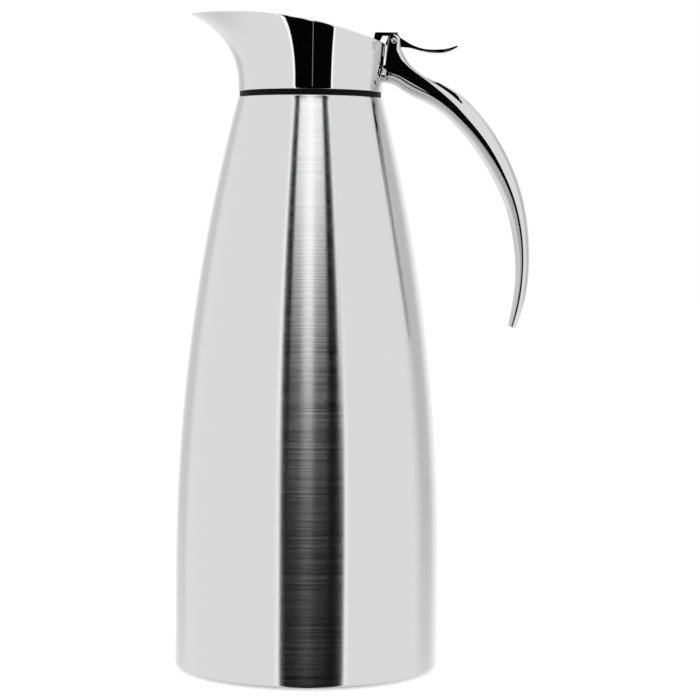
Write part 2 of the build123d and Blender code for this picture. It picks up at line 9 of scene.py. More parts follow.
import bmesh
import bpy
import numpy as np
from bpy.props import FloatProperty, FloatVectorProperty, IntProperty, PointerProperty
from mathutils import Matrix, Vector


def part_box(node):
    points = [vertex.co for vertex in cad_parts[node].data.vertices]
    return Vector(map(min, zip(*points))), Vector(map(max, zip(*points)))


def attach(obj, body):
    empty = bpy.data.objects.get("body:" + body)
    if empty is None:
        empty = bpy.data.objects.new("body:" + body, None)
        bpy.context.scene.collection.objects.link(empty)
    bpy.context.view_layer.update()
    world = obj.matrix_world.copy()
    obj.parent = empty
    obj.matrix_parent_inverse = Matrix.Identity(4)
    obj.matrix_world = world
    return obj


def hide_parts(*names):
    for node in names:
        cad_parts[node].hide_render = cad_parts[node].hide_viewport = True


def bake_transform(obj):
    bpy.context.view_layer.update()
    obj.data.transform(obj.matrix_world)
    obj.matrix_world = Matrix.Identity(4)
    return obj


bl_info = {
    "name": "Thermal Carafe",
    "version": (1, 0, 0),
    "blender": (4, 5, 0),
    "location": "3D View > Sidebar > Carafe",
    "description": "Finished pieces of a double-walled steel carafe with a flip lid",
    "category": "Add Mesh",
}

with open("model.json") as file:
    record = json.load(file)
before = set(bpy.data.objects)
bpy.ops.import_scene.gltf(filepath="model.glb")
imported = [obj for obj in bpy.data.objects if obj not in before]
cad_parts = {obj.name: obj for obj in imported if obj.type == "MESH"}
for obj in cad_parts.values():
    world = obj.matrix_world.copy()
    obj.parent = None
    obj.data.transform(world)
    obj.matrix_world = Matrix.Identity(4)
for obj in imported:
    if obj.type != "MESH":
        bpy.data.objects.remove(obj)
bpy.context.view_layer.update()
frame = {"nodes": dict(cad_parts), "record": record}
SLOT_OF = {part["node"]: part["material_slot"] for part in frame["record"]["subparts"]}
MM = 0.001


def box_of(node):
    """A node's lowest and highest corners at rest, in millimetres."""
    return [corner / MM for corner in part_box(node)]


SHELL_LOW, SHELL_HIGH = box_of("outer_shell")
COLLAR_LOW, COLLAR_HIGH = box_of("collar")
PIN_LOW, PIN_HIGH = box_of("hinge_pin")
SEAL_LOW, SEAL_HIGH = box_of("lid_seal")

SHOULDER = SHELL_HIGH.z
COLLAR_BOTTOM = COLLAR_LOW.z
SEAT = SEAL_LOW.z
PIN_X = (PIN_LOW.x + PIN_HIGH.x) / 2
PIN_Z = (PIN_LOW.z + PIN_HIGH.z) / 2
ALONG_PIN = Matrix.Translation((PIN_X, 0, PIN_Z)) @ Matrix.Rotation(math.radians(-90), 4, "X")
PIN_RADIUS = 0.99
PIN_HEAD = 1.35                          # radius of the pin's head and of its nut

# the lid cover's top: height over the collar's bottom at X = 0, and how far it falls along X
COVER_HEIGHT, COVER_SLOPE = 24.7, 0.2

# the collar's rim in side view: along X, height above the collar's bottom
RIM_LINE = [
    (-61.4, 33.35), (-50.0, 33.3), (-38.0, 33.1), (-24.0, 32.5), (-10.0, 30.8),
    (4.0, 28.3), (18.0, 24.7), (40.0, 19.0),
]

# The handle in side view from the pin, from its tip up to the lugs. Each row has the outer edge,
# the inner edge, where the flat side starts and ends from the inner edge, the half width, the
# degrees by which the outer and the inner flank lean where they leave the flat side, and how
# square the outer and the inner flank are.
HANDLE_STATIONS = [
    ((54.8, -124.4), (51.0, -123.2), 1.4, 1.85, 5.8, 5, 5, 1.6, 1.5),
    ((57.3, -117.1), (52.5, -115.8), 1.7, 2.35, 6.3, 5, 5, 1.6, 1.45),
    ((60.1, -101.3), (54.1, -100.7), 2.2, 2.85, 6.7, 5, 5, 1.6, 1.4),
    ((60.0, -85.6), (53.0, -86.2), 2.9, 3.65, 7.0, 5, 5, 1.6, 1.4),
    ((57.7, -69.9), (49.6, -71.8), 3.3, 4.2, 7.2, 5, 5, 1.6, 1.4),
    ((52.5, -54.3), (43.4, -58.4), 3.7, 5.05, 7.4, 8, 8, 1.65, 1.4),
    ((43.9, -38.7), (34.8, -45.0), 3.4, 5.5, 7.5, 12, 16, 1.7, 1.5),
    ((36.0, -28.8), (27.7, -36.8), 3.35, 5.65, 7.5, 16, 20, 1.75, 1.55),
    ((28.6, -22.1), (21.4, -30.9), 3.2, 6.15, 7.5, 20, 24, 1.8, 1.6),
    ((20.0, -17.7), (13.6, -26.1), 3.8, 7.5, 7.5, 20, 26, 1.9, 1.7),
    ((14.2, -15.1), (7.9, -23.5), 4.5, 8.9, 7.5, 20, 28, 2.0, 1.9),
    ((8.8, -11.2), (2.2, -20.1), 4.3, 9.4, 7.5, 20, 28, 2.0, 2.0),
    ((6.5, -8.6), (-2.0, -18.3), 4.6, 10.8, 7.5, 16, 28, 2.1, 2.0),
    ((5.3, -6.7), (-6.4, -17.0), 5.6, 12.9, 7.5, 14, 28, 2.2, 2.0),
    ((4.6, -5.4), (-7.0, -14.4), 5.0, 12.0, 7.5, 13, 28, 2.2, 2.0),
    ((4.1, -4.5), (-6.6, -12.6), 3.0, 10.8, 7.5, 13, 25, 2.2, 2.0),
    ((3.85, -4.0), (-4.0, -11.6), 0.8, 8.2, 7.5, 13, 20, 2.2, 2.2),
    ((3.7, -3.6), (-3.7, -10.4), 0.4, 7.3, 7.5, 13, 40, 2.2, 5.0),
    ((3.55, -3.0), (-3.6, -8.4), 0.4, 6.1, 7.5, 13, 68, 2.2, 6.0),
    ((3.42, -2.2), (-3.3, -5.4), 0.4, 4.9, 7.5, 13, 70, 2.2, 6.0),
    ((3.28, -1.2), (-2.95, -2.6), 0.4, 4.3, 7.5, 13, 70, 2.2, 6.0),
    ((3.2, -0.2), (-2.6, -0.2), 0.4, 3.95, 7.5, 13, 70, 2.2, 6.0),
]
LUG_CENTRE = (0.3, -0.2)
LUG_RADIUS = 2.9
LUG_HALF_WIDTH = 7.5                     # also half the width of the lever's block
PAST_LUGS = 9.0                          # where a hole along the pin is clear of both lugs
LUG_FLAT = (-0.43, -0.1, 1.78, 2.15)     # centre and half axes of the flat round the pin's head
LUG_FLANKS = ((13, 70), (2.2, 6.0))      # lean and squareness of the flanks over the lugs' top
# the flat leaf on the thumb rest's side: along X from the pin, and its top below the outer edge
THUMB_LEAF = [
    (17.0, 1.4), (18.5, 0.8), (20.0, 0.5), (22.5, 0.86), (25.4, 1.22), (28.0, 1.4),
    (29.5, 1.9), (30.5, 2.6),
]
LEAF_HALF_WIDTH = 6.1
LEAF_LOWEST = -45.0                      # the leaf is only on the part of the handle above this
LEAF_FADE = (4.0, 4.0)                   # how far the thumb rest runs out before and after it

# The lever from the pin: its block up the back, over the top and down the front, the knuckle
# from top to bottom, and the pad's top and bottom lines.
BLOCK = [
    (-7.6, -1.4), (-5.8, 0.0), (-4.9, 1.8), (-2.6, 1.8), (-2.1, 1.95), (-1.5, 2.42),
    (-0.9, 2.76), (0.0, 2.95), (1.6, 2.95), (1.6, 3.4), (-8.2, 3.4), (-8.8, 0.7),
]
KNUCKLE = [(-1.9, 3.3), (-2.8, 0.9), (-3.7, -1.2), (-3.0, -2.0), (-1.3, -2.3), (1.3, -2.3)]
PAD_TOP = [(2.96, 1.4), (6.2, -0.62), (12.2, -3.08), (19.5, -3.62), (26.2, -2.62), (28.4, -1.95)]
PAD_BOTTOM = [(3.0, -2.6), (6.2, -2.85), (11.8, -4.3), (18.4, -5.14), (26.6, -3.65), (28.7, -2.6)]

CAMERA_PLACE = (18.26, -986.16, 198.58)
CAMERA_DOWN, CAMERA_ROLL = 0.0603, 0.0094


# ---- sizes and colours that a user may change
def length_field(name, description, default, precision=4):
    return FloatProperty(
        name=name, description=description, default=default,
        unit="LENGTH", subtype="DISTANCE", precision=precision)


def share_field(name, description, default, most=1.0):
    return FloatProperty(
        name=name, description=description, default=default,
        min=0.0, max=most, subtype="FACTOR")


def colour_field(name, description, default):
    return FloatVectorProperty(
        name=name, description=description, default=default,
        subtype="COLOR", size=3, min=0.0, max=1.0)


def count_field(name, description, default, least, most):
    return IntProperty(
        name=name, description=description, default=default, min=least, max=most)


class CarafeFlaskSizes(bpy.types.PropertyGroup):
    body_radius: length_field(
        "Body radius", "Outside radius of the straight lower wall", SHELL_HIGH.x * MM)
    straight_top: length_field(
        "Straight wall", "Height where the wall starts to bend inward", 0.046)
    shell_wall: length_field("Shell wall", "Thickness of the outer shell", 0.0008)
    shoulder_rounding: length_field(
        "Shoulder rounding", "Rounding of the shell's top edge", 0.0008)
    foot_rounding: length_field("Foot rounding", "Rounding at the foot of the shell", 0.0016)
    segments: count_field("Segments", "Steps round the turned pieces", 256, 32, 512)


class CarafeHeadSizes(bpy.types.PropertyGroup):
    collar_radius: length_field(
        "Collar radius", "Outside radius at the collar's bottom", COLLAR_HIGH.y * MM)
    collar_wall: length_field("Collar wall", "Thickness of the collar", 0.0014)
    rim_rounding: length_field(
        "Rim rounding", "Rounding of both edges of the rim", 0.0004, precision=5)
    lip_point: share_field(
        "Lip point", "How much more pointed than an ellipse the lip is", 0.22, most=0.6)
    gasket_groove: length_field(
        "Gasket groove", "Depth of the two grooves in the gasket's edge", 0.00035, precision=5)
    columns: count_field("Columns", "Steps round the collar", 288, 48, 720)


class CarafeHandleSizes(bpy.types.PropertyGroup):
    tip_rounding: length_field("Tip rounding", "Rounding of the handle's free end", 0.0009)
    thumb_rest: share_field(
        "Thumb rest", "How far the thumb rest stands out of the outer flank", 1.0)
    stations: count_field("Stations", "Steps along the handle", 260, 60, 800)


class CarafeFinishes(bpy.types.PropertyGroup):
    steel: colour_field("Steel", "Colour of the brushed and polished steel", (0.70, 0.70, 0.70))
    brush_roughness: share_field("Brush roughness", "Roughness of the brushed body", 0.166)
    polish_roughness: share_field(
        "Polish roughness", "Roughness of the mirror-polished head and handle", 0.035)
    moulding: colour_field(
        "Moulding", "Colour of the black moulded pieces", (0.012, 0.012, 0.013))
    rubber: colour_field("Rubber", "Colour of the black rubber pieces", (0.004, 0.004, 0.004))
    silicone: colour_field("Silicone", "Colour of the clear silicone seals", (0.72, 0.74, 0.74))


class CarafeStage(bpy.types.PropertyGroup):
    light: FloatProperty(
        name="Studio light", description="Strength of the light round the carafe",
        default=1.0, min=0.0, max=4.0)
    floor: colour_field("Floor", "Colour of the floor", (0.8, 0.8, 0.8))
    focal: FloatProperty(
        name="Focal length", description="Focal length of the camera, in millimetres",
        default=115.98, min=10.0, max=400.0)


# ---- curves
def through(knots, values, places):
    """A natural cubic curve through the values at rising knots, read at the given places."""
    knots = np.asarray(knots, float)
    values = np.asarray(values, float)
    places = np.atleast_1d(np.asarray(places, float))
    if values.ndim == 1:
        return through(knots, values[:, None], places)[:, 0]
    count = len(knots)
    gaps = np.diff(knots)
    slopes = np.diff(values, axis=0) / gaps[:, None]
    system = np.eye(count)
    right = np.zeros_like(values)
    for i in range(1, count - 1):
        system[i, i - 1:i + 2] = gaps[i - 1], 2 * (gaps[i - 1] + gaps[i]), gaps[i]
        right[i] = 6 * (slopes[i] - slopes[i - 1])
    bend = np.linalg.solve(system, right)
    i = np.clip(np.searchsorted(knots, places) - 1, 0, count - 2)
    t = (places - knots[i])[:, None]
    gap = gaps[i][:, None]
    return (values[i] + t * (slopes[i] - gap * (2 * bend[i] + bend[i + 1]) / 6)
            + t**2 * bend[i] / 2 + t**3 * (bend[i + 1] - bend[i]) / (6 * gap))


def along(points):
    """Distance along a line of points at each of them."""
    points = np.asarray(points, float)
    return np.concatenate([[0.0], np.cumsum(np.linalg.norm(np.diff(points, axis=0), axis=1))])


def smooth_step(value, low, high):
    """0 below low, 1 above high and smooth between."""
    t = np.clip((value - low) / (high - low), 0.0, 1.0)
    return t * t * (3 - 2 * t)


def rounded(corners, steps=5):
    """A closed outline of (a, b, radius) corners with each corner rounded to its radius."""
    outline = []
    for i, (a, b, radius) in enumerate(corners):
        here = Vector((a, b))
        before = Vector(corners[i - 1][:2]) - here
        after = Vector(corners[(i + 1) % len(corners)][:2]) - here
        if radius <= 0 or before.length < 1e-9 or after.length < 1e-9:
            outline.append(tuple(here))
            continue
        half = before.angle(after) / 2
        reach = min(radius / math.tan(half), 0.49 * before.length, 0.49 * after.length)
        radius = reach * math.tan(half)
        start = here + before.normalized() * reach
        end = here + after.normalized() * reach
        bisector = (before.normalized() + after.normalized()).normalized()
        centre = here + bisector * (radius / math.sin(half))
        first, last = start - centre, end - centre
        for k in range(steps + 1):
            arm = first.lerp(last, k / steps)
            outline.append(tuple(centre + arm.normalized() * radius))
    return outline


def arc(centre, radius, start, end, steps):
    """Points (a, b) on an arc, angles in degrees."""
    angles = [math.radians(start + (end - start) * i / steps) for i in range(steps + 1)]
    return [(centre[0] + radius * math.cos(a), centre[1] + radius * math.sin(a)) for a in angles]


def from_pin(points):
    """Points (x, z) measured from the hinge pin, in the carafe's own place."""
    return [(PIN_X + x, PIN_Z + z) for x, z in points]


def cover_top(x):
    """Height of the lid cover's top at a place along X."""
    return COLLAR_BOTTOM + COVER_HEIGHT - COVER_SLOPE * x


# ---- meshes
class Surface:
    """Points and faces of one closed surface, in millimetres."""

    def __init__(self):
        self.points = []
        self.faces = []

    def add(self, points):
        start = len(self.points)
        self.points.extend(tuple(map(float, p)) for p in points)
        return list(range(start, len(self.points)))

    def band(self, first, second, closed=True):
        """Faces between two rows; a row of one point is a pole."""
        count = max(len(first), len(second))
        for i in range(count if closed else count - 1):
            j = (i + 1) % count
            if len(first) == 1:
                self.faces.append((first[0], second[j], second[i]))
            elif len(second) == 1:
                self.faces.append((first[i], first[j], second[0]))
            else:
                self.faces.append((first[i], first[j], second[j], second[i]))

    def skin(self, rows, closed=True, ring=False):
        """Joins rows of points; ring joins the last row to the first."""
        rows = [self.add(row) for row in rows]
        for first, second in zip(rows, rows[1:]):
            self.band(first, second, closed)
        if ring:
            self.band(rows[-1], rows[0], closed)
        return rows

    def cap(self, row):
        self.faces.append(tuple(row))


def capped(rows):
    """A solid through closed rows of points, with both ends capped."""
    surface = Surface()
    made = surface.skin(rows)
    surface.cap(made[0])
    surface.cap(made[-1])
    return surface


def turned(outline, segments, matrix=None):
    """A solid turned about Z from a closed outline of (radius, height) points."""
    surface = Surface()
    angles = [2 * math.pi * i / segments for i in range(segments)]
    rows = []
    for radius, height in outline:
        if radius < 1e-6:
            row = [(0.0, 0.0, height)]
        else:
            row = [(radius * math.cos(a), radius * math.sin(a), height) for a in angles]
        if matrix:
            row = [matrix @ Vector(p) for p in row]
        rows.append(surface.add(row))
    for first, second in zip(rows, rows[1:] + rows[:1]):
        if len(first) > 1 or len(second) > 1:
            surface.band(first, second)
    return surface


def rod(radius, low, high, segments=64, matrix=None):
    """A solid cylinder about Z."""
    corners = [(0, low, 0), (radius, low, 0), (radius, high, 0), (0, high, 0)]
    return turned(rounded(corners), segments, matrix)


def tube(path, radius, sides=12):
    """A wire along a path, with flat ends."""
    path = [Vector(p) for p in path]
    angles = [2 * math.pi * k / sides for k in range(sides)]
    side = None
    rows = []
    for i, here in enumerate(path):
        ahead = (path[min(i + 1, len(path) - 1)] - path[max(i - 1, 0)]).normalized()
        side = ahead.orthogonal() if side is None else side - ahead * side.dot(ahead)
        side.normalize()
        up = ahead.cross(side)
        rows.append([
            here + side * radius * math.cos(a) + up * radius * math.sin(a) for a in angles])
    return capped(rows)


def side_plate(outline, half_width, edge):
    """A plate along XZ made from an outline of (x, z) points, with its edges rounded."""
    work = bmesh.new()
    near = [work.verts.new((x, -half_width, z)) for x, z in outline]
    face = work.faces.new(near)
    grown = bmesh.ops.extrude_face_region(work, geom=[face])
    moved = [v for v in grown["geom"] if isinstance(v, bmesh.types.BMVert)]
    bmesh.ops.translate(work, verts=moved, vec=(0, 2 * half_width, 0))
    bmesh.ops.recalc_face_normals(work, faces=work.faces)
    if edge:
        sharp = [e for e in work.edges if e.calc_face_angle(0) > math.radians(35)]
        bmesh.ops.bevel(work, geom=sharp, offset=edge, segments=3, profile=0.5,
                        affect="EDGES", clamp_overlap=True)
    surface = Surface()
    surface.points = [tuple(v.co) for v in work.verts]
    work.verts.index_update()
    surface.faces = [tuple(v.index for v in f.verts) for f in work.faces]
    work.free()
    return surface


def mesh_object(name, surface):
    """A linked object from a surface, with its normals facing out."""
    mesh = bpy.data.meshes.new(name)
    mesh.from_pydata([[c * MM for c in p] for p in surface.points], [], surface.faces)
    work = bmesh.new()
    work.from_mesh(mesh)
    bmesh.ops.remove_doubles(work, verts=work.verts, dist=2e-8)
    bmesh.ops.recalc_face_normals(work, faces=work.faces)
    work.to_mesh(mesh)
    work.free()
    made = bpy.data.objects.new(name, mesh)
    bpy.context.scene.collection.objects.link(made)
    return made


def combine(base, other, operation):
    """Cuts or joins another surface into a piece with an exact boolean."""
    tool = mesh_object(base.name + "_tool", other)
    modifier = base.modifiers.new("combine", "BOOLEAN")
    modifier.operation = operation
    modifier.solver = "EXACT"
    modifier.object = tool
    bpy.context.view_layer.update()
    graph = bpy.context.evaluated_depsgraph_get()
    result = bpy.data.meshes.new_from_object(base.evaluated_get(graph))
    base.modifiers.clear()
    spare = base.data
    base.data = result
    bpy.data.meshes.remove(spare)
    spare = tool.data
    bpy.data.objects.remove(tool)
    bpy.data.meshes.remove(spare)
    if not result.polygons:
        raise RuntimeError(f"{base.name}: the {operation.lower()} left nothing")


def drill(piece, radius, low, high, segments=48):
    """Cuts a hole along the hinge pin's line, between two places along Y."""
    combine(piece, rod(radius, low, high, segments, ALONG_PIN), "DIFFERENCE")


def finish_piece(piece, body, node, sharp=32.0):
    """Smooths a piece, gives it its node's finish and puts it in its node's place."""
    mesh = piece.data
    mesh.name = piece.name
    mesh.shade_smooth()
    mesh.set_sharp_from_angle(angle=math.radians(sharp))
    mesh.materials.clear()
    mesh.materials.append(finish_of(node))
    if body:
        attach(piece, body)
    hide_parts(node)


def new_piece(name, surface, body, node, sharp=32.0):
    finish_piece(mesh_object(name, surface), body, node, sharp)


def turn_piece(name, corners, segments, body, node, matrix=None):
    """A finished piece turned from a closed outline of (radius, height, rounding) corners."""
    new_piece(name, turned(rounded(corners), segments, matrix), body, node)


def crease_flat_sides(mesh):
    """Keeps the edges of the flat sides crisp where a curved flank meets them at an angle."""
    flat, curved = 0.999, 0.9965
    work = bmesh.new()
    work.from_mesh(mesh)
    for edge in work.edges:
        if len(edge.link_faces) == 2:
            first, second = sorted(abs(face.normal.y) for face in edge.link_faces)
            if second > flat and first < curved:
                edge.smooth = False
    work.to_mesh(mesh)
    work.free()


# ---- finishes
class Wire:
    """A shader socket that takes Python arithmetic."""

    def __init__(self, tree, socket):
        self.tree = tree
        self.socket = socket

    def __add__(self, other):
        return self.tree.math("ADD", self, other)

    def __sub__(self, other):
        return self.tree.math("SUBTRACT", self, other)

    def __rsub__(self, other):
        return self.tree.math("SUBTRACT", other, self)

    def __mul__(self, other):
        return self.tree.math("MULTIPLY", self, other)

    def __neg__(self):
        return self * -1.0

    __radd__ = __add__
    __rmul__ = __mul__


class Tree:
    """A node tree that is filled one call a node."""

    def __init__(self, tree):
        self.tree = tree
        tree.nodes.clear()

    def add(self, kind, settings=None, inputs=None):
        made = self.tree.nodes.new(kind)
        for key, value in (settings or {}).items():
            setattr(made, key, value)
        for key, value in (inputs or {}).items():
            if isinstance(value, Wire):
                self.tree.links.new(value.socket, made.inputs[key])
            else:
                made.inputs[key].default_value = value
        return made

    def node(self, kind, settings=None, inputs=None, output=0):
        return Wire(self, self.add(kind, settings, inputs).outputs[output])

    def math(self, operation, *values):
        return self.node("ShaderNodeMath", {"operation": operation}, dict(enumerate(values)))

    def rise(self, value, low, high):
        """0 below low, 1 above high and smooth between; high below low turns it round."""
        return self.node(
            "ShaderNodeMapRange", {"interpolation_type": "SMOOTHSTEP"},
            {"Value": value, "From Min": low, "From Max": high})

    def spread(self, value, low, high):
        """Maps 0 to 1 onto low to high."""
        return value * (high - low) + low

    def place(self, scale):
        """The piece's own place, stretched by a scale along each axis."""
        return self.node(
            "ShaderNodeVectorMath", {"operation": "MULTIPLY"},
            {0: self.node("ShaderNodeTexCoord", output="Object"), 1: scale})

    def noise(self, scale, detail=3.0, stretch=(1.0, 1.0, 1.0)):
        return self.node(
            "ShaderNodeTexNoise", {},
            {"Vector": self.place(stretch), "Scale": scale, "Detail": detail})

    def shade(self, low, high, factor):
        """A colour between two, by a factor."""
        return self.node(
            "ShaderNodeMix", {"data_type": "RGBA"},
            {0: factor, 6: (*low, 1.0), 7: (*high, 1.0)}, output=2)

    def bump(self, height, distance, strength):
        return self.node(
            "ShaderNodeBump", {}, {"Height": height, "Distance": distance, "Strength": strength})


class Finish(Tree):
    """A Principled finish, with its constants on the shader's own sockets."""

    def __init__(self, name, colour, roughness, constants=None):
        self.made = bpy.data.materials.new(name)
        self.made.use_nodes = True
        self.made.diffuse_color = (*colour, 1.0)
        super().__init__(self.made.node_tree)
        self.shader = self.add("ShaderNodeBsdfPrincipled", {}, {
            "Base Color": (*colour, 1.0), "Roughness": roughness, **(constants or {})})
        self.add("ShaderNodeOutputMaterial", {}, {"Surface": Wire(self, self.shader.outputs[0])})

    def vary(self, colour, roughness, normal=None):
        """Lets colour, roughness and normal change over the surface, and gives the material."""
        for key, value in (("Base Color", colour), ("Roughness", roughness), ("Normal", normal)):
            if value:
                self.tree.links.new(value.socket, self.shader.inputs[key])
        return self.made


def toned(colour, share, lift=0.0):
    """A darker or paler tone of a colour."""
    return tuple(min(1.0, c * share + lift) for c in colour)


def brushed_steel(name, colour, roughness):
    """Steel brushed round the body: long fine lines along the circumference."""
    steel = Finish(name, colour, roughness, {
        "Metallic": 1.0, "Anisotropic": 1.0, "Anisotropic Rotation": 0.25})
    lines = steel.noise(1.0, detail=4.0, stretch=(14.0, 14.0, 1500.0))
    broad = steel.noise(1.0, detail=2.0, stretch=(9.0, 9.0, 260.0))
    soft = steel.noise(22.0, detail=2.0)
    return steel.vary(
        steel.shade(toned(colour, 0.975), toned(colour, 1.02), lines * 0.6 + broad * 0.4),
        (lines - 0.5) * 0.16 + (broad - 0.5) * 0.04 + (soft - 0.5) * 0.02 + roughness,
        steel.bump(lines, 0.00003, 1.0))


def polished_steel(name, colour, roughness, ripple=0.0):
    """Mirror-polished steel with faint wipe marks, and a ripple where it is cast."""
    steel = Finish(name, colour, roughness, {"Metallic": 1.0})
    marks = steel.noise(160.0, detail=5.0, stretch=(1.0, 1.0, 0.3))
    cloud = steel.noise(28.0, detail=2.0)
    return steel.vary(
        steel.shade(toned(colour, 0.985), colour, cloud),
        steel.rise(marks, 0.55, 0.75) * 0.015 + (cloud - 0.5) * 0.012 + roughness,
        steel.bump(steel.noise(55.0, detail=1.0), ripple, 1.0) if ripple else None)


def plain_steel(name, colour, roughness, grain=900.0):
    """Steel as rolled or pressed, with a fine grain."""
    steel = Finish(name, colour, roughness, {"Metallic": 1.0})
    fine = steel.noise(grain, detail=4.0)
    cloud = steel.noise(40.0)
    return steel.vary(
        steel.shade(toned(colour, 0.9), colour, fine * 0.5 + cloud * 0.5),
        (fine - 0.5) * 0.12 + (cloud - 0.5) * 0.1 + roughness,
        steel.bump(fine, 0.000008, 0.6))


def moulded(name, colour, roughness, grain, depth, specular=0.5):
    """Moulded plastic or rubber with a fine textured skin."""
    skin = Finish(name, colour, roughness, {"Specular IOR Level": specular})
    fine = skin.noise(grain)
    cloud = skin.noise(60.0)
    return skin.vary(
        skin.shade(colour, toned(colour, 1.35, 0.001), cloud),
        (fine - 0.5) * 0.16 + (cloud - 0.5) * 0.12 + roughness,
        skin.bump(fine, depth, 0.7))


def clear_silicone(name, colour, roughness=0.38):
    """Cloudy translucent silicone."""
    silicone = Finish(name, colour, roughness, {"Transmission Weight": 0.25, "IOR": 1.41})
    cloud = silicone.noise(120.0)
    return silicone.vary(
        silicone.shade(toned(colour, 0.9), colour, cloud),
        (cloud - 0.5) * 0.2 + roughness,
        silicone.bump(cloud, 0.00002, 0.4))


def cell_foam(name):
    """Closed-cell foam: small pale cells."""
    foam = Finish(name, (0.88, 0.87, 0.82), 0.85)
    cells = foam.node(
        "ShaderNodeTexVoronoi", {"feature": "DISTANCE_TO_EDGE"},
        {"Vector": foam.place((1.0, 1.0, 1.0)), "Scale": 900.0})
    walls = foam.rise(cells, 0.0, 0.25)
    return foam.vary(
        foam.shade((0.82, 0.8, 0.74), (0.9, 0.89, 0.85), walls),
        (1 - walls) * 0.1 + 0.82,
        foam.bump(walls, 0.0002, 0.6))


FINISHES = {}


def finish_of(node):
    """The finish of a node's material slot."""
    slot = SLOT_OF[node]
    if slot not in FINISHES:
        raise RuntimeError(f"the finish {slot} isn't made yet")
    return FINISHES[slot]


# ---- flask outlines
def wall_line(flask):
    """Gives the radius of the wall at a height: upright, then a long arc in to the shoulder."""
    body, straight = flask.body_radius / MM, flask.straight_top / MM
    inward = body - COLLAR_HIGH.y - 0.1
    rise = SHOULDER - straight
    bend = (inward**2 + rise**2) / (2 * inward)

    def wall(height, inset=0.0):
        if height <= straight:
            return body - inset
        return body - bend + math.sqrt((bend - inset)**2 - (height - straight)**2)

    return wall


def shell_outline(flask):
    neck_bore, foot_width = 25.83, 7.0
    wall = wall_line(flask)
    body, straight = flask.body_radius / MM, flask.straight_top / MM
    thick, edge = flask.shell_wall / MM, flask.shoulder_rounding / MM
    corner, low = flask.foot_rounding / MM, SHELL_LOW.z
    hole = body - corner - foot_width
    foot = (body - corner, low + corner)
    outside = [(hole, low)] + arc(foot, corner, -90, 0, 10)
    outside += [(body, z) for z in np.linspace(low + corner, straight, 6)[1:]]
    outside += [(wall(z), z) for z in np.linspace(straight, SHOULDER - edge, 90)[1:-1]]
    top = wall(SHOULDER - edge)
    outside += arc((top - edge, SHOULDER - edge), edge, -7, 90, 8)
    outside += [(neck_bore, SHOULDER), (neck_bore, SHOULDER - thick)]
    inside = [(wall(z, thick), z) for z in np.linspace(SHOULDER - thick, straight, 60)]
    inside += arc(foot, corner - thick, 0, -90, 6)
    return outside + inside + [(hole, low + thick)]


def gasket_outline(head):
    """The gasket's section: three bands with a groove between each two."""
    bore, tight, soft = 25.6, 0.1, 0.12
    lowest, highest = box_of("neck_gasket")
    low, high, outer = lowest.z, highest.z, highest.x
    band = (high - low) / 5
    groove = head.gasket_groove / MM
    corners = [(bore, low, tight), (outer, low, soft)]
    for i in (1, 3):
        edge = low + i * band
        corners += [
            (outer, edge, soft), (outer - groove, edge + band / 2, tight),
            (outer, edge + band, soft)]
    corners += [(outer, high, soft), (bore, high, tight)]
    return rounded(corners, 4)


# ---- collar
class CollarShape:
    """The collar's walls by plan angle and height; angle 0 is the lip."""

    # the front wall bends out above a height, by a radius, until it leans by an angle
    bend_start, bend, steepest = 3.3, 31.0, math.radians(54.0)
    # near the rim it flares out further between two heights, by a distance at the upper one
    flare_start, flare_end, flare = 29.5, 33.3, 1.55
    back_bend = 180.0    # radius of the back wall's slight bend
    lip_length = 19.8    # how far the lip stands out where it is fully pointed

    def __init__(self, head):
        self.radius = head.collar_radius / MM
        self.wall = head.collar_wall / MM
        self.point = head.lip_point

    def front_reach(self, height, inset):
        rise = max(0.0, height - self.bend_start)
        bend = self.bend + inset
        full = bend * math.sin(self.steepest)
        if rise <= full:
            return self.radius - inset + bend - math.sqrt(bend**2 - rise**2)
        straight = (rise - full) * math.tan(self.steepest)
        flare = max(0.0, height - self.flare_start) / (self.flare_end - self.flare_start)
        return (self.radius - inset + bend * (1 - math.cos(self.steepest)) + straight
                + self.flare * flare**2)

    def back_reach(self, height, inset):
        bend = self.back_bend + inset
        return self.radius - inset + bend - math.sqrt(bend**2 - max(0.0, height)**2)

    def at(self, angle, height, inset=0.0):
        """The wall's point, moved in from the outside by an inset."""
        half = self.radius - inset
        c, s = math.cos(angle), math.sin(angle)
        if c > 0:
            reach = self.front_reach(height, inset)
            pointed = self.point * (reach - half) / self.lip_length
            x = -reach * c ** (2 / (2 - pointed))
        else:
            x = -self.back_reach(height, inset) * c
        return Vector((x, half * s, COLLAR_BOTTOM + height))

    def rim(self, angle, inset=0.0):
        """Height where the wall at this angle meets the rim."""
        low, high = 10.0, 35.5
        for _ in range(34):
            middle = (low + high) / 2
            if middle < through(*zip(*RIM_LINE), self.at(angle, middle, inset).x)[0]:
                low = middle
            else:
                high = middle
        return (low + high) / 2

    def tangent(self, angle, height, inset=0.0):
        step = 0.02
        above, below = (self.at(angle, height + way, inset) for way in (step, -step))
        return (above - below) / (2 * step)


def cubic(points, t):
    """A point of a Bezier curve with four control points."""
    first, second, third, last = points
    return (first * (1 - t)**3 + second * 3 * t * (1 - t)**2 + third * 3 * t**2 * (1 - t)
            + last * t**3)


def round_over(shape, angle, height, inset, towards, radius, steps):
    """Rounds the edge between a wall and the rim: the wall's last height and the points."""
    edge = shape.at(angle, height, inset)
    up = shape.tangent(angle, height, inset)
    across = towards - edge
    half = (-up).angle(across) / 2
    reach = min(radius / math.tan(half), 0.45 * across.length)
    radius = reach * math.tan(half)
    last = height - reach / up.length
    start = shape.at(angle, last, inset)
    lead = shape.tangent(angle, last, inset).normalized()
    end = edge + across.normalized() * reach
    pull = 4 / 3 * math.tan((math.pi - 2 * half) / 4) * radius
    controls = (start, start + lead * pull, end - across.normalized() * pull, end)
    return last, [cubic(controls, k / steps) for k in range(steps + 1)]


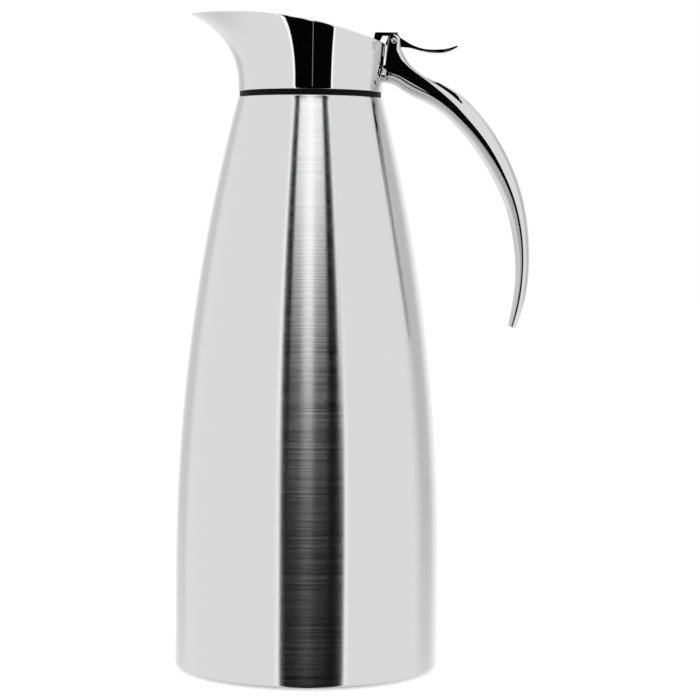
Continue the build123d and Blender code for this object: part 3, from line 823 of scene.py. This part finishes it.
def collar_surface(head):
    foot_bore, foot_height, foot_rounding = 27.6, 1.0, 0.25
    shape = CollarShape(head)
    rounding = head.rim_rounding / MM
    columns = []
    for i in range(head.columns):
        angle = 2 * math.pi * i / head.columns
        outer_top = shape.rim(angle)
        inner_top = shape.rim(angle, shape.wall)
        outer = shape.at(angle, outer_top)
        inner = shape.at(angle, inner_top, shape.wall)
        last, over = round_over(shape, angle, outer_top, 0.0, inner, rounding, 8)
        inner_last, inner_over = round_over(
            shape, angle, inner_top, shape.wall, outer, rounding, 6)
        way = Vector((-math.cos(angle), math.sin(angle), 0))
        column = [
            way * foot_bore + Vector((0, 0, COLLAR_BOTTOM + rise)) for rise in (foot_height, 0)]
        for step in range(5):
            turn = math.radians(90 * step / 4)
            foot = shape.at(angle, foot_rounding * (1 - math.cos(turn)))
            column.append(foot - way * foot_rounding * (1 - math.sin(turn)))
        column += [shape.at(angle, h) for h in np.linspace(foot_rounding, last, 44)[1:-1]]
        column += over + inner_over[::-1]
        column += [shape.at(angle, h, shape.wall)
                   for h in np.linspace(inner_last, foot_height, 26)[1:]]
        columns.append(column)
    surface = Surface()
    surface.skin([list(row) for row in zip(*columns)], closed=True, ring=True)
    return surface


def collar_blank(head, grow, low, high, columns=144):
    """The collar's outside as a solid, for cutting the handle's seat."""
    shape = CollarShape(head)
    angles = [2 * math.pi * i / columns for i in range(columns)]
    heights = [low, *np.linspace(0.5, high, 24)]
    return capped([[shape.at(a, height, -grow) for a in angles] for height in heights])


# ---- handle
def quarter(half_width, reach, lean, square, count):
    """A quarter of the section, from its side to its edge: (distance along, half width).

    It leaves the side leaning over by an angle in degrees, so that the flat side ends crisply.
    """
    wanted = math.tan(math.radians(lean)) * max(reach, 0.1) / half_width
    latest = math.radians(35)
    low, high = 0.0, math.radians(60)
    for _ in range(30):
        start = (low + high) / 2
        leaning = math.tan(start) * (1 - math.sin(start)) / math.cos(start)
        if leaning < wanted and start < latest:
            low = start
        else:
            high = start
    power = 2 / square
    first, full = math.sin(start)**power, math.cos(start)**power
    points = []
    for k in range(count + 1):
        turn = start + (math.pi / 2 - start) * k / count
        out, side = math.sin(turn)**power, max(0.0, math.cos(turn))**power
        points.append((reach * (out - first) / (1 - first), half_width * side / full))
    return points


def outer_flank(half_width, reach, lean, square, leaf):
    """The outer flank from the handle's edge to its flat side, with the thumb rest's leaf."""
    near, weight = leaf
    dense = quarter(half_width, reach, lean, square, 90)[::-1]
    depths = [reach - u for u, _ in dense]
    widths = [y for _, y in dense]
    ledge = min(LEAF_HALF_WIDTH, 0.86 * half_width)
    far = float(np.interp(ledge, widths, depths))
    near = min(near, 0.97 * far)
    # rows from the edge to the leaf's top, down the leaf's side, and on to the flat side
    steps = [near * (1 - math.cos(math.pi / 2 * k / 12)) for k in range(12)]
    steps += [near + (far - near) * k / 3 for k in range(4)]
    steps += [far + (reach - far) * math.sin(math.pi / 2 * k / 15) for k in range(1, 16)]
    points = []
    for depth in steps:
        y = float(np.interp(depth, depths, widths))
        if depth < far:
            over = max(0.0, (near - depth) / near)
            y += weight * max(0.0, ledge * math.sqrt(1 - over**2) - y)
        points.append((reach - depth, y))
    return points


def handle_section(outer, inner, flat_start, flat_end, half_width, leans, squares, leaf):
    """The section's points, from its outer edge round by +Y, as (along from inner edge, y)."""
    length = math.dist(outer, inner)
    flat_start = max(0.02, min(flat_start, length - 0.06))
    flat_end = min(length - 0.02, max(flat_end, flat_start + 0.02))
    out_side = outer_flank(half_width, length - flat_end, leans[0], squares[0], leaf)
    in_side = quarter(half_width, flat_start, leans[1], squares[1], 30)
    half = [(flat_end + u, y) for u, y in out_side]
    flat = np.linspace(flat_end, flat_start, 4)[1:-1]
    half += [(float(u), half_width) for u in flat]
    half += [(flat_start - u, y) for u, y in in_side]
    return half + [(u, -y) for u, y in reversed(half[1:-1])]


def leaf_at(x, z, reach):
    """Where the leaf's top lies below the outer edge, and how much of it there is."""
    places, nears = zip(*THUMB_LEAF)
    before, after = LEAF_FADE
    weight = float(smooth_step(x, places[0] - before, places[0])
                   * (1 - smooth_step(x, places[-1], places[-1] + after)))
    plain = 0.3 * reach                  # where the rows part without a leaf
    if z < LEAF_LOWEST or weight == 0:
        return plain, 0.0
    return plain + (float(np.interp(x, places, nears)) - plain) * weight, weight


def lug_cap(rows=15):
    """Stations over the round top of the lugs, with the flat round the pin's head."""
    centre_x, centre_z = LUG_CENTRE
    flat_x, flat_z, flat_along, flat_up = LUG_FLAT
    stations = []
    for k in range(1, rows):
        rise = LUG_RADIUS * math.sin(math.pi / 2 * k / rows)
        reach = math.sqrt(LUG_RADIUS**2 - rise**2)
        z = centre_z + rise
        inside = 1 - ((z - flat_z) / flat_up)**2
        half_width = LUG_HALF_WIDTH
        if inside > 0.0004:
            half_flat = flat_along * math.sqrt(inside)
            left, right = flat_x - half_flat, flat_x + half_flat
        else:
            left = right = flat_x + (centre_x - flat_x) * 0.5
            over = (z - flat_z - flat_up) / (centre_z + LUG_RADIUS - flat_z - flat_up)
            half_width -= 0.5 * (1 - math.sqrt(max(0.0, 1 - over**2)))
        back = centre_x - reach
        start = max(0.05, left - back)
        end = max(min(2 * reach - 0.05, right - back), start + 0.02)
        stations.append(((centre_x + reach, z), (back, z), start, end, half_width, *LUG_FLANKS))
    return stations


def tip_rows(tip, following, rounding, steps=5):
    """Rows that round the handle's free end, from its end face back to its first section."""
    centre = sum(tip, Vector()) / len(tip)
    back = (centre - sum(following, Vector()) / len(tip)).normalized()
    rows = []
    for k in range(steps, 0, -1):
        turn = math.pi / 2 * k / steps
        shift = back * rounding * (math.sin(turn) - 1)
        inset = rounding * (1 - math.cos(turn))
        rows.append([
            p + shift + (centre - p) * min(0.98, inset / max((centre - p).length, 0.01))
            for p in tip])
    return [*rows, [p - back * rounding for p in tip]]


def handle_surface(handle):
    table = np.array([[*outer, *inner, *rest] for outer, inner, *rest in HANDLE_STATIONS])
    middle = (table[:, :2] + table[:, 2:4]) / 2
    knots = along(middle) * 0.5 + along(table[:, :2]) * 0.5
    values = through(knots, table, np.linspace(0, knots[-1], handle.stations))
    stations = [(v[:2], v[2:4], *v[4:7], v[7:9], v[9:]) for v in values] + lug_cap()
    pin = Vector((PIN_X, 0, PIN_Z))
    rows = []
    for outer, inner, flat_start, flat_end, *flanks in stations:
        near, weight = leaf_at(*outer, math.dist(outer, inner) - flat_end)
        leaf = near, weight * handle.thumb_rest
        section = handle_section(outer, inner, flat_start, flat_end, *flanks, leaf)
        start, end = Vector((inner[0], 0, inner[1])), Vector((outer[0], 0, outer[1]))
        way = (end - start).normalized()
        rows.append([start + way * u + Vector((0, y, 0)) + pin for u, y in section])
    return capped(tip_rows(*rows[:2], handle.tip_rounding / MM) + rows[1:])


def fork_outline(radius=7.7):
    """Round the pin between the lugs, open at the top and to both sides."""
    turns = np.linspace(math.pi, 2 * math.pi, 33)
    bowl = [(radius * math.cos(a), radius * math.sin(a)) for a in turns]
    return [(-12, 8), (-12, 0), *bowl, (12, 0), (12, 8)]


# ---- hinge and lid
def cover_matrix(x=-1.0):
    """The middle of the cover's top, with Z square to it."""
    forward = Vector((1, 0, -COVER_SLOPE)).normalized()
    up = Vector((COVER_SLOPE, 0, 1)).normalized()
    matrix = Matrix((forward, up.cross(forward), up)).transposed().to_4x4()
    matrix.translation = (x, 0, cover_top(x))
    return matrix


def lever_foot():
    """The lever's block over the pin and the plate that lies on the cover."""
    front, back, thick, step = PIN_X - 21.0, PIN_X - 8.6, 2.2, 1.0
    block = from_pin(BLOCK)
    corner = block[-1][0] - step
    outline = [
        (front, cover_top(front)), (back, cover_top(back)), *block,
        (corner, cover_top(corner) + thick), (front, cover_top(front) + thick),
    ]
    return side_plate(outline, LUG_HALF_WIDTH, 0.06)


def lever_arm():
    """The knuckle round the pin and the start of the arm."""
    outline = [*KNUCKLE, *PAD_BOTTOM[:2], *PAD_TOP[1::-1], (1.5, 3.3)]
    return side_plate(from_pin(outline), 3.3, 0.1)


def pad_surface():
    """The thumb pad: flat-sided sections along X between its top and bottom lines."""
    start, neck, tip, bow, bow_length = 3.0, 6.9, 28.7, 1.2, 8.0
    narrow, wide, edge, steps = 3.3, 7.0, 0.08, 61
    high_x = np.linspace(start, PAD_TOP[-1][0], steps)
    low_x = np.linspace(start, PAD_BOTTOM[-1][0], steps)
    lines = zip(
        high_x, through(*zip(*PAD_TOP), high_x), low_x, through(*zip(*PAD_BOTTOM), low_x))
    rows = []
    for x_high, high, x_low, low in lines:
        reach = (x_high + x_low) / 2
        half = narrow + (wide - narrow) * max(0.0, (reach - neck) / (tip - bow - neck))
        soft = min(edge, (high - low) / 3)
        bent = bow * smooth_step(reach, tip - bow_length, tip)
        turns = [math.radians(a) for a in (30, 60, 90)]
        corner = [(half - soft + soft * math.sin(a), soft - soft * math.cos(a)) for a in turns]
        across = np.linspace(-1, 1, 15)
        section = [(x_high - bent * a**2, a * (half - soft), high) for a in across]
        section += [(x_high - bent, y, high - drop) for y, drop in corner]
        section += [(x_low - bent, y, low + drop) for y, drop in corner[::-1]]
        section += [(x_low - bent * a**2, a * (half - soft), low) for a in across[::-1]]
        section += [(x_low - bent, -y, low + drop) for y, drop in corner]
        section += [(x_high - bent, -y, high - drop) for y, drop in corner[::-1]]
        rows.append([(PIN_X + x, y, PIN_Z + z) for x, y, z in section])
    return capped(rows)


def pin_surfaces():
    """The pin with its domed head at the low end of Y, and the slot to cut into the head."""
    dome_height, head_height, slot_depth = 0.5, 0.8, 0.55
    start, end = PIN_LOW.y, PIN_HIGH.y
    dome = [(PIN_HEAD * share, start + dome_height * share**2, 0)
            for share in np.linspace(0, 1, 9)]
    corners = [
        *dome, (PIN_HEAD, start + head_height, 0.05), (PIN_RADIUS, start + head_height, 0.05),
        (PIN_RADIUS, end, 0.15), (0, end, 0),
    ]
    slot = [(-2, -0.175), (2, -0.175), (2, 0.175), (-2, 0.175)]
    turn = Matrix.Rotation(math.radians(40), 4, "Z")
    cut = capped([
        [ALONG_PIN @ (turn @ Vector((x, y, z))) for x, y in slot]
        for z in (start - 1, start + slot_depth)])
    return turned(rounded(corners, 4), 64, ALONG_PIN), cut


def spring_path():
    """The spring's wire: up from the handle, round its turns on the pin, and into the lever."""
    turns, steps, coil, half, wire = 4.25, 150, 1.6, 1.2, 0.25
    low, high = box_of("lid_spring")
    path = [(PIN_X - coil, -half, z) for z in np.linspace(low.z + 0.01, PIN_Z, 8)]
    for k in range(1, steps + 1):
        turn = math.pi + 2 * math.pi * turns * k / steps
        path.append((
            PIN_X + coil * math.cos(turn), -half + 2 * half * k / steps,
            PIN_Z - coil * math.sin(turn)))
    end = high.x - wire - 0.1
    path += [(x, half, PIN_Z + coil) for x in np.linspace(path[-1][0], end, 6)[1:]]
    return path


# ---- operators
class CARAFE_OT_finishes(bpy.types.Operator):
    """Make every finish of the carafe"""

    bl_idname = "carafe.finishes"
    bl_label = "Finishes"

    def execute(self, context):
        chosen = context.scene.carafe_finishes
        steel, polish = tuple(chosen.steel), chosen.polish_roughness
        rubber, moulding = tuple(chosen.rubber), tuple(chosen.moulding)
        fastener, wire = (0.66, 0.66, 0.67), (0.5, 0.5, 0.51)
        FINISHES.update({
            "brushed_steel_body": brushed_steel(
                "Brushed steel body", steel, chosen.brush_roughness),
            "polished_steel": polished_steel("Polished steel", steel, polish),
            "polished_casting": polished_steel("Polished casting", steel, polish + 0.01, 0.00002),
            "plain_steel": plain_steel("Plain pressed steel", (0.6, 0.6, 0.61), 0.34),
            "steel_fastener": plain_steel("Turned fastener steel", fastener, 0.22, 1800.0),
            "spring_wire": plain_steel("Drawn spring wire", wire, 0.28, 2400.0),
            "black_rubber": moulded("Black rubber", rubber, 0.5, 2600.0, 0.00001, 0.1),
            "black_moulding": moulded("Black moulding", moulding, 0.42, 1500.0, 0.000015),
            "clear_silicone": clear_silicone("Clear silicone", tuple(chosen.silicone)),
            "foam": cell_foam("Insulating foam"),
        })
        for node in SLOT_OF:
            materials = frame["nodes"][node].data.materials
            materials.clear()
            materials.append(finish_of(node))
        return {"FINISHED"}


class CARAFE_OT_shell(bpy.types.Operator):
    """Turn the brushed outer shell and the pieces under its foot"""

    bl_idname = "carafe.shell"
    bl_label = "Outer shell and foot"

    def execute(self, context):
        flask = context.scene.carafe_flask
        shell = turned(shell_outline(flask), flask.segments)
        new_piece("brushed_shell", shell, "flask", "outer_shell", 40.0)

        low, high = box_of("base_pad")
        bore, outer, edge = 30.5, high.x, 0.6
        middle = (bore + outer) / 2
        pad = [
            (bore, low.z, edge), (middle - 2.2, low.z, 0.2), (middle - 1.7, low.z + 0.5, 0.2),
            (middle + 1.7, low.z + 0.5, 0.2), (middle + 2.2, low.z, 0.2), (outer, low.z, edge),
            (outer, high.z, 0.4), (bore, high.z, 0.4),
        ]
        turn_piece("foot_ring", pad, flask.segments, "flask", "base_pad")

        low, high = box_of("outer_base")
        wall, slope, gap, bend = 0.8, 2.2, 0.4, 0.8
        recess = outer + slope + gap
        disc = [
            (0, high.z - wall, 0), (recess - slope, high.z - wall, bend), (recess, low.z, bend),
            (high.x, low.z, 0), (high.x, low.z + wall, 0), (recess - gap, low.z + wall, bend),
            (recess - gap - slope, high.z, bend), (0, high.z, 0),
        ]
        plug_hole, plug_shank = 1.93, 1.9
        piece = mesh_object("pressed_base", turned(rounded(disc), flask.segments))
        combine(piece, rod(plug_hole, low.z - 1, high.z + 1), "DIFFERENCE")
        finish_piece(piece, "flask", "outer_base")

        low, high = box_of("vacuum_plug")
        plug = [
            (0, low.z, 0), (high.x, low.z, 0.3), (high.x, low.z + 1.0, 0.2),
            (plug_shank, low.z + 1.0, 0.05), (plug_shank, high.z, 0.1), (0, high.z, 0),
        ]
        turn_piece("sealing_plug", plug, 64, "flask", "vacuum_plug")
        return {"FINISHED"}


class CARAFE_OT_gasket(bpy.types.Operator):
    """Turn the banded rubber gasket between shell and collar"""

    bl_idname = "carafe.gasket"
    bl_label = "Neck gasket"

    def execute(self, context):
        scene = context.scene
        gasket = turned(gasket_outline(scene.carafe_head), scene.carafe_flask.segments)
        new_piece("banded_gasket", gasket, "gasket", "neck_gasket")
        return {"FINISHED"}


class CARAFE_OT_collar(bpy.types.Operator):
    """Draw the polished collar out to its pouring lip"""

    bl_idname = "carafe.collar"
    bl_label = "Collar and lip"

    def execute(self, context):
        collar = collar_surface(context.scene.carafe_head)
        new_piece("polished_collar", collar, "head", "collar", 45.0)
        return {"FINISHED"}


class CARAFE_OT_handle(bpy.types.Operator):
    """Sweep the handle with its flat sides and cut the fork between its lugs"""

    bl_idname = "carafe.handle"
    bl_label = "Handle and lugs"

    def execute(self, context):
        scene = context.scene
        seat_gap, seat_low, seat_high = 0.05, -14.0, 26.0
        fork_half_width, recess, pin_hole = 3.55, 1.4, 1.0
        head_floor, nut_floor = PIN_LOW.y + 0.85, 6.15
        piece = mesh_object("open_handle", handle_surface(scene.carafe_handle))
        seat = collar_blank(scene.carafe_head, seat_gap, seat_low, seat_high)
        combine(piece, seat, "DIFFERENCE")
        fork = side_plate(from_pin(fork_outline()), fork_half_width, 0.0)
        combine(piece, fork, "DIFFERENCE")
        drill(piece, recess, PIN_LOW.y - 1, head_floor)
        drill(piece, recess, nut_floor, PAST_LUGS)
        drill(piece, pin_hole, -PAST_LUGS, PAST_LUGS)
        finish_piece(piece, "head", "handle", 28.0)
        crease_flat_sides(piece.data)
        return {"FINISHED"}


class CARAFE_OT_hinge(bpy.types.Operator):
    """Turn the hinge pin and its nut, and wind the lid's spring"""

    bl_idname = "carafe.hinge"
    bl_label = "Hinge pin, nut and spring"

    def execute(self, context):
        pin, slot = pin_surfaces()
        piece = mesh_object("slotted_pin", pin)
        combine(piece, slot, "DIFFERENCE")
        finish_piece(piece, "head", "hinge_pin")

        low, high = box_of("pin_cap_nut")
        floor = low.y + 0.975
        nut = [
            (PIN_RADIUS, low.y, 0), (PIN_HEAD, low.y, 0.05), (PIN_HEAD, high.y, 0.35),
            (0, high.y, 0), (0, floor, 0), (PIN_RADIUS, floor, 0),
        ]
        turn_piece("dome_nut", nut, 64, "head", "pin_cap_nut", ALONG_PIN)

        spring = mesh_object("wound_spring", tube(spring_path(), 0.25))
        finish_piece(spring, None, "lid_spring")
        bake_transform(spring)
        return {"FINISHED"}


class CARAFE_OT_lever(bpy.types.Operator):
    """Cast the thumb lever: foot, block and plate, arm and pad"""

    bl_idname = "carafe.lever"
    bl_label = "Thumb lever"

    def execute(self, context):
        pin_hole, spring_room, spring_half = 1.05, 2.1, 1.6
        piece = mesh_object("thumb_lever", lever_foot())
        combine(piece, lever_arm(), "UNION")
        combine(piece, pad_surface(), "UNION")
        drill(piece, pin_hole, -PAST_LUGS, PAST_LUGS)
        drill(piece, spring_room, -spring_half, spring_half, 64)
        finish_piece(piece, "lid", "lid_lever", 14.0)
        return {"FINISHED"}


class CARAFE_OT_lid(bpy.types.Operator):
    """Press the lid's cover and turn the plug, seal and retainer under it"""

    bl_idname = "carafe.lid"
    bl_label = "Lid and seal"

    def execute(self, context):
        segments = context.scene.carafe_flask.segments
        radius, wall, skirt = 29.2, 0.8, 2.4
        cover = [
            (0, 0, 0), (radius, 0, 0.4), (radius, -skirt, 0.15), (radius - wall, -skirt, 0.15),
            (radius - wall, -wall, 0.2), (0, -wall, 0),
        ]
        turn_piece("pressed_cover", cover, segments, "lid", "lid_cover", cover_matrix())

        low, high = box_of("lid_plug")
        radius, side, floor, under_cover = high.x, 1.5, low.z + 1.6, 0.83
        cup = [
            (0, low.z, 0), (radius, low.z, 0.4), (radius, high.z, 0),
            (radius - side, high.z, 0), (radius - side, floor, 0.3), (0, floor, 0),
        ]
        surface = turned(rounded(cup), segments)
        surface.points = [
            (x, y, min(z, cover_top(x) - under_cover)) for x, y, z in surface.points]
        new_piece("lid_cup", surface, "lid", "lid_plug")

        bore, edge = 16.5, 24.0
        ring = [
            (bore, SEAT, 0.1), (edge, SEAT, 0.35), (edge, SEAL_HIGH.z, 0.1),
            (bore, SEAL_HIGH.z, 0.1),
        ]
        turn_piece("flat_seal", ring, segments, "lid", "lid_seal")

        low, high = box_of("seal_retainer")
        neck = bore - 0.05
        button = [
            (0, low.z, 0), (high.x, low.z, 0.5), (high.x, SEAT, 0.2), (neck, SEAT, 0),
            (neck, high.z, 0), (0, high.z, 0),
        ]
        turn_piece("seal_button", button, segments, "lid", "seal_retainer")
        return {"FINISHED"}


# ---- stage
def studio_light(strength):
    """The light round the carafe: pale all round, a dark screen in front and a lamp in it.

    Places are in degrees: side is 0 straight in front and grows along X, height is 0 level.
    """
    world = bpy.data.worlds.new("Studio")
    bpy.context.scene.world = world
    world.use_nodes = True
    tree = Tree(world.node_tree)
    rise, spread = tree.rise, tree.spread
    parts = tree.add(
        "ShaderNodeSeparateXYZ", {}, {0: tree.node("ShaderNodeTexCoord", output="Generated")})
    x, y, z = (Wire(tree, parts.outputs[i]) for i in range(3))
    degrees = 180 / math.pi
    side = tree.math("ARCTAN2", x, -y) * degrees
    height = tree.math("ARCSINE", z) * degrees

    def off(place):
        return tree.math("ABSOLUTE", side - place)

    # the pale room, a little darker in two broad places behind, and below
    walls = rise(height, -16.0, -6.0) * rise(height, 42.0, 22.0)
    room = (1.0 - rise(off(-143.0), 20.0, 6.0) * walls * 0.24
            - rise(off(131.0), 24.0, 5.0) * walls * 0.34)
    room = room * spread(rise(height, -70.0, -18.0), 0.7, 1.0)

    # the dark screen, with a dim light just outside each of its side edges
    from_left = side - spread(rise(height, -8.0, 16.0), -22.0, -24.6)
    from_right = side - spread(rise(height, 10.0, 5.0), 29.8, 33.6)
    screen = rise(from_left, -0.3, 0.3) * rise(from_right, 0.35, -0.35)
    edge_light = (rise(from_left, 0.3, -0.3) * rise(from_left, -3.4, -2.8)
                  + rise(from_right, 0.0, 0.5) * rise(from_right, 3.2, 2.6))

    # the lamp in the screen: bright all over at its top, and only in its middle lower down
    top = rise(height, 13.0, 22.0) * 0.56 + rise(height, 20.0, 25.0) * 0.42 + 0.01
    middle = rise(off(0.8), spread(rise(height, 9.0, 20.0), 8.0, 15.0), 0.5)
    from_lamp = side - spread(rise(height, 16.0, 24.0), 16.9, 21.0)
    lamp = (top + (1.0 - top) * middle) * rise(side, -17.2, -15.9) * rise(from_lamp, 0.6, -0.6)
    lamp = lamp * rise(height, 8.3, 9.2) * 1.44

    # a thin upright line from under the lamp, and a faint strip low at the screen's left
    line = rise(off(4.0), 0.5, 0.25) * rise(height, 2.2, 3.0) * 0.35
    strip = rise(side, -18.0, -18.6) * rise(height, -5.5, -6.5)
    dark = strip * 0.07 + lamp + line + 0.0015
    light = room * (1.0 - screen) + dark * screen + edge_light * 0.35 * (1.0 - screen)
    seen = tree.node("ShaderNodeLightPath", output="Is Camera Ray")
    tree.add("ShaderNodeOutputWorld", {}, {"Surface": tree.node("ShaderNodeBackground", {}, {
        "Strength": seen + (1.0 - seen) * light * strength, "Color": (1, 1, 1, 1)})})


def stage_floor(colour, size=4000.0, glow=0.45):
    """A pale floor that glows a little to the camera and isn't mirrored in the steel."""
    surface = Surface()
    steps = np.linspace(-size, size, 9)
    surface.skin([[(x, y, 0.0) for x in steps] for y in steps], closed=False)
    floor = mesh_object("floor", surface)
    made = bpy.data.materials.new("Pale floor")
    made.use_nodes = True
    tree = Tree(made.node_tree)
    seen = tree.node("ShaderNodeLightPath", output="Is Camera Ray")
    glossy = tree.node("ShaderNodeLightPath", output="Is Glossy Ray")
    matt = tree.node("ShaderNodeBsdfDiffuse", {}, {"Color": (*colour, 1.0)})
    bright = tree.node(
        "ShaderNodeEmission", {}, {"Color": (1, 1, 1, 1), "Strength": seen * glow})
    lit = tree.node("ShaderNodeAddShader", {}, {0: matt, 1: bright})
    clear = tree.node("ShaderNodeBsdfTransparent")
    mixed = tree.node("ShaderNodeMixShader", {}, {0: glossy, 1: lit, 2: clear})
    tree.add("ShaderNodeOutputMaterial", {}, {"Surface": mixed})
    floor.data.materials.append(made)


class CARAFE_OT_stage(bpy.types.Operator):
    """Set the pale floor, the studio light and the camera"""

    bl_idname = "carafe.stage"
    bl_label = "Floor, light and camera"

    def execute(self, context):
        scene = context.scene
        chosen = scene.carafe_stage
        scene.view_settings.view_transform = "Standard"
        studio_light(chosen.light)
        stage_floor(tuple(chosen.floor))
        lens = bpy.data.cameras.new("Camera")
        lens.sensor_width = 36.0
        lens.lens = chosen.focal
        lens.clip_start, lens.clip_end = 0.05, 20.0
        camera = bpy.data.objects.new("Camera", lens)
        scene.collection.objects.link(camera)
        camera.matrix_world = (
            Matrix.Translation(Vector(CAMERA_PLACE) * MM)
            @ Matrix.Rotation(math.pi / 2 - CAMERA_DOWN, 4, "X")
            @ Matrix.Rotation(CAMERA_ROLL, 4, "Z"))
        scene.camera = camera
        return {"FINISHED"}


# ---- panel and registering
STEPS = (
    CARAFE_OT_finishes, CARAFE_OT_shell, CARAFE_OT_gasket, CARAFE_OT_collar, CARAFE_OT_handle,
    CARAFE_OT_hinge, CARAFE_OT_lever, CARAFE_OT_lid, CARAFE_OT_stage,
)
GROUPS = {
    "carafe_flask": CarafeFlaskSizes,
    "carafe_head": CarafeHeadSizes,
    "carafe_handle": CarafeHandleSizes,
    "carafe_finishes": CarafeFinishes,
    "carafe_stage": CarafeStage,
}


class CARAFE_PT_panel(bpy.types.Panel):
    """The carafe's sizes and steps"""

    bl_idname = "CARAFE_PT_panel"
    bl_label = "Carafe"
    bl_space_type = "VIEW_3D"
    bl_region_type = "UI"
    bl_category = "Carafe"

    def draw(self, context):
        for group, kind in GROUPS.items():
            box = self.layout.box()
            for key in kind.__annotations__:
                box.prop(getattr(context.scene, group), key)
        for step in STEPS:
            self.layout.operator(step.bl_idname)


def register():
    for group, kind in GROUPS.items():
        bpy.utils.register_class(kind)
        setattr(bpy.types.Scene, group, PointerProperty(type=kind))
    for kind in (*STEPS, CARAFE_PT_panel):
        bpy.utils.register_class(kind)


def unregister():
    for kind in (CARAFE_PT_panel, *reversed(STEPS)):
        bpy.utils.unregister_class(kind)
    for group, kind in GROUPS.items():
        delattr(bpy.types.Scene, group)
        bpy.utils.unregister_class(kind)


def main():
    register()
    for step in STEPS:
        area, name = step.bl_idname.split(".")
        getattr(getattr(bpy.ops, area), name)()


if __name__ == "__main__":
    main()
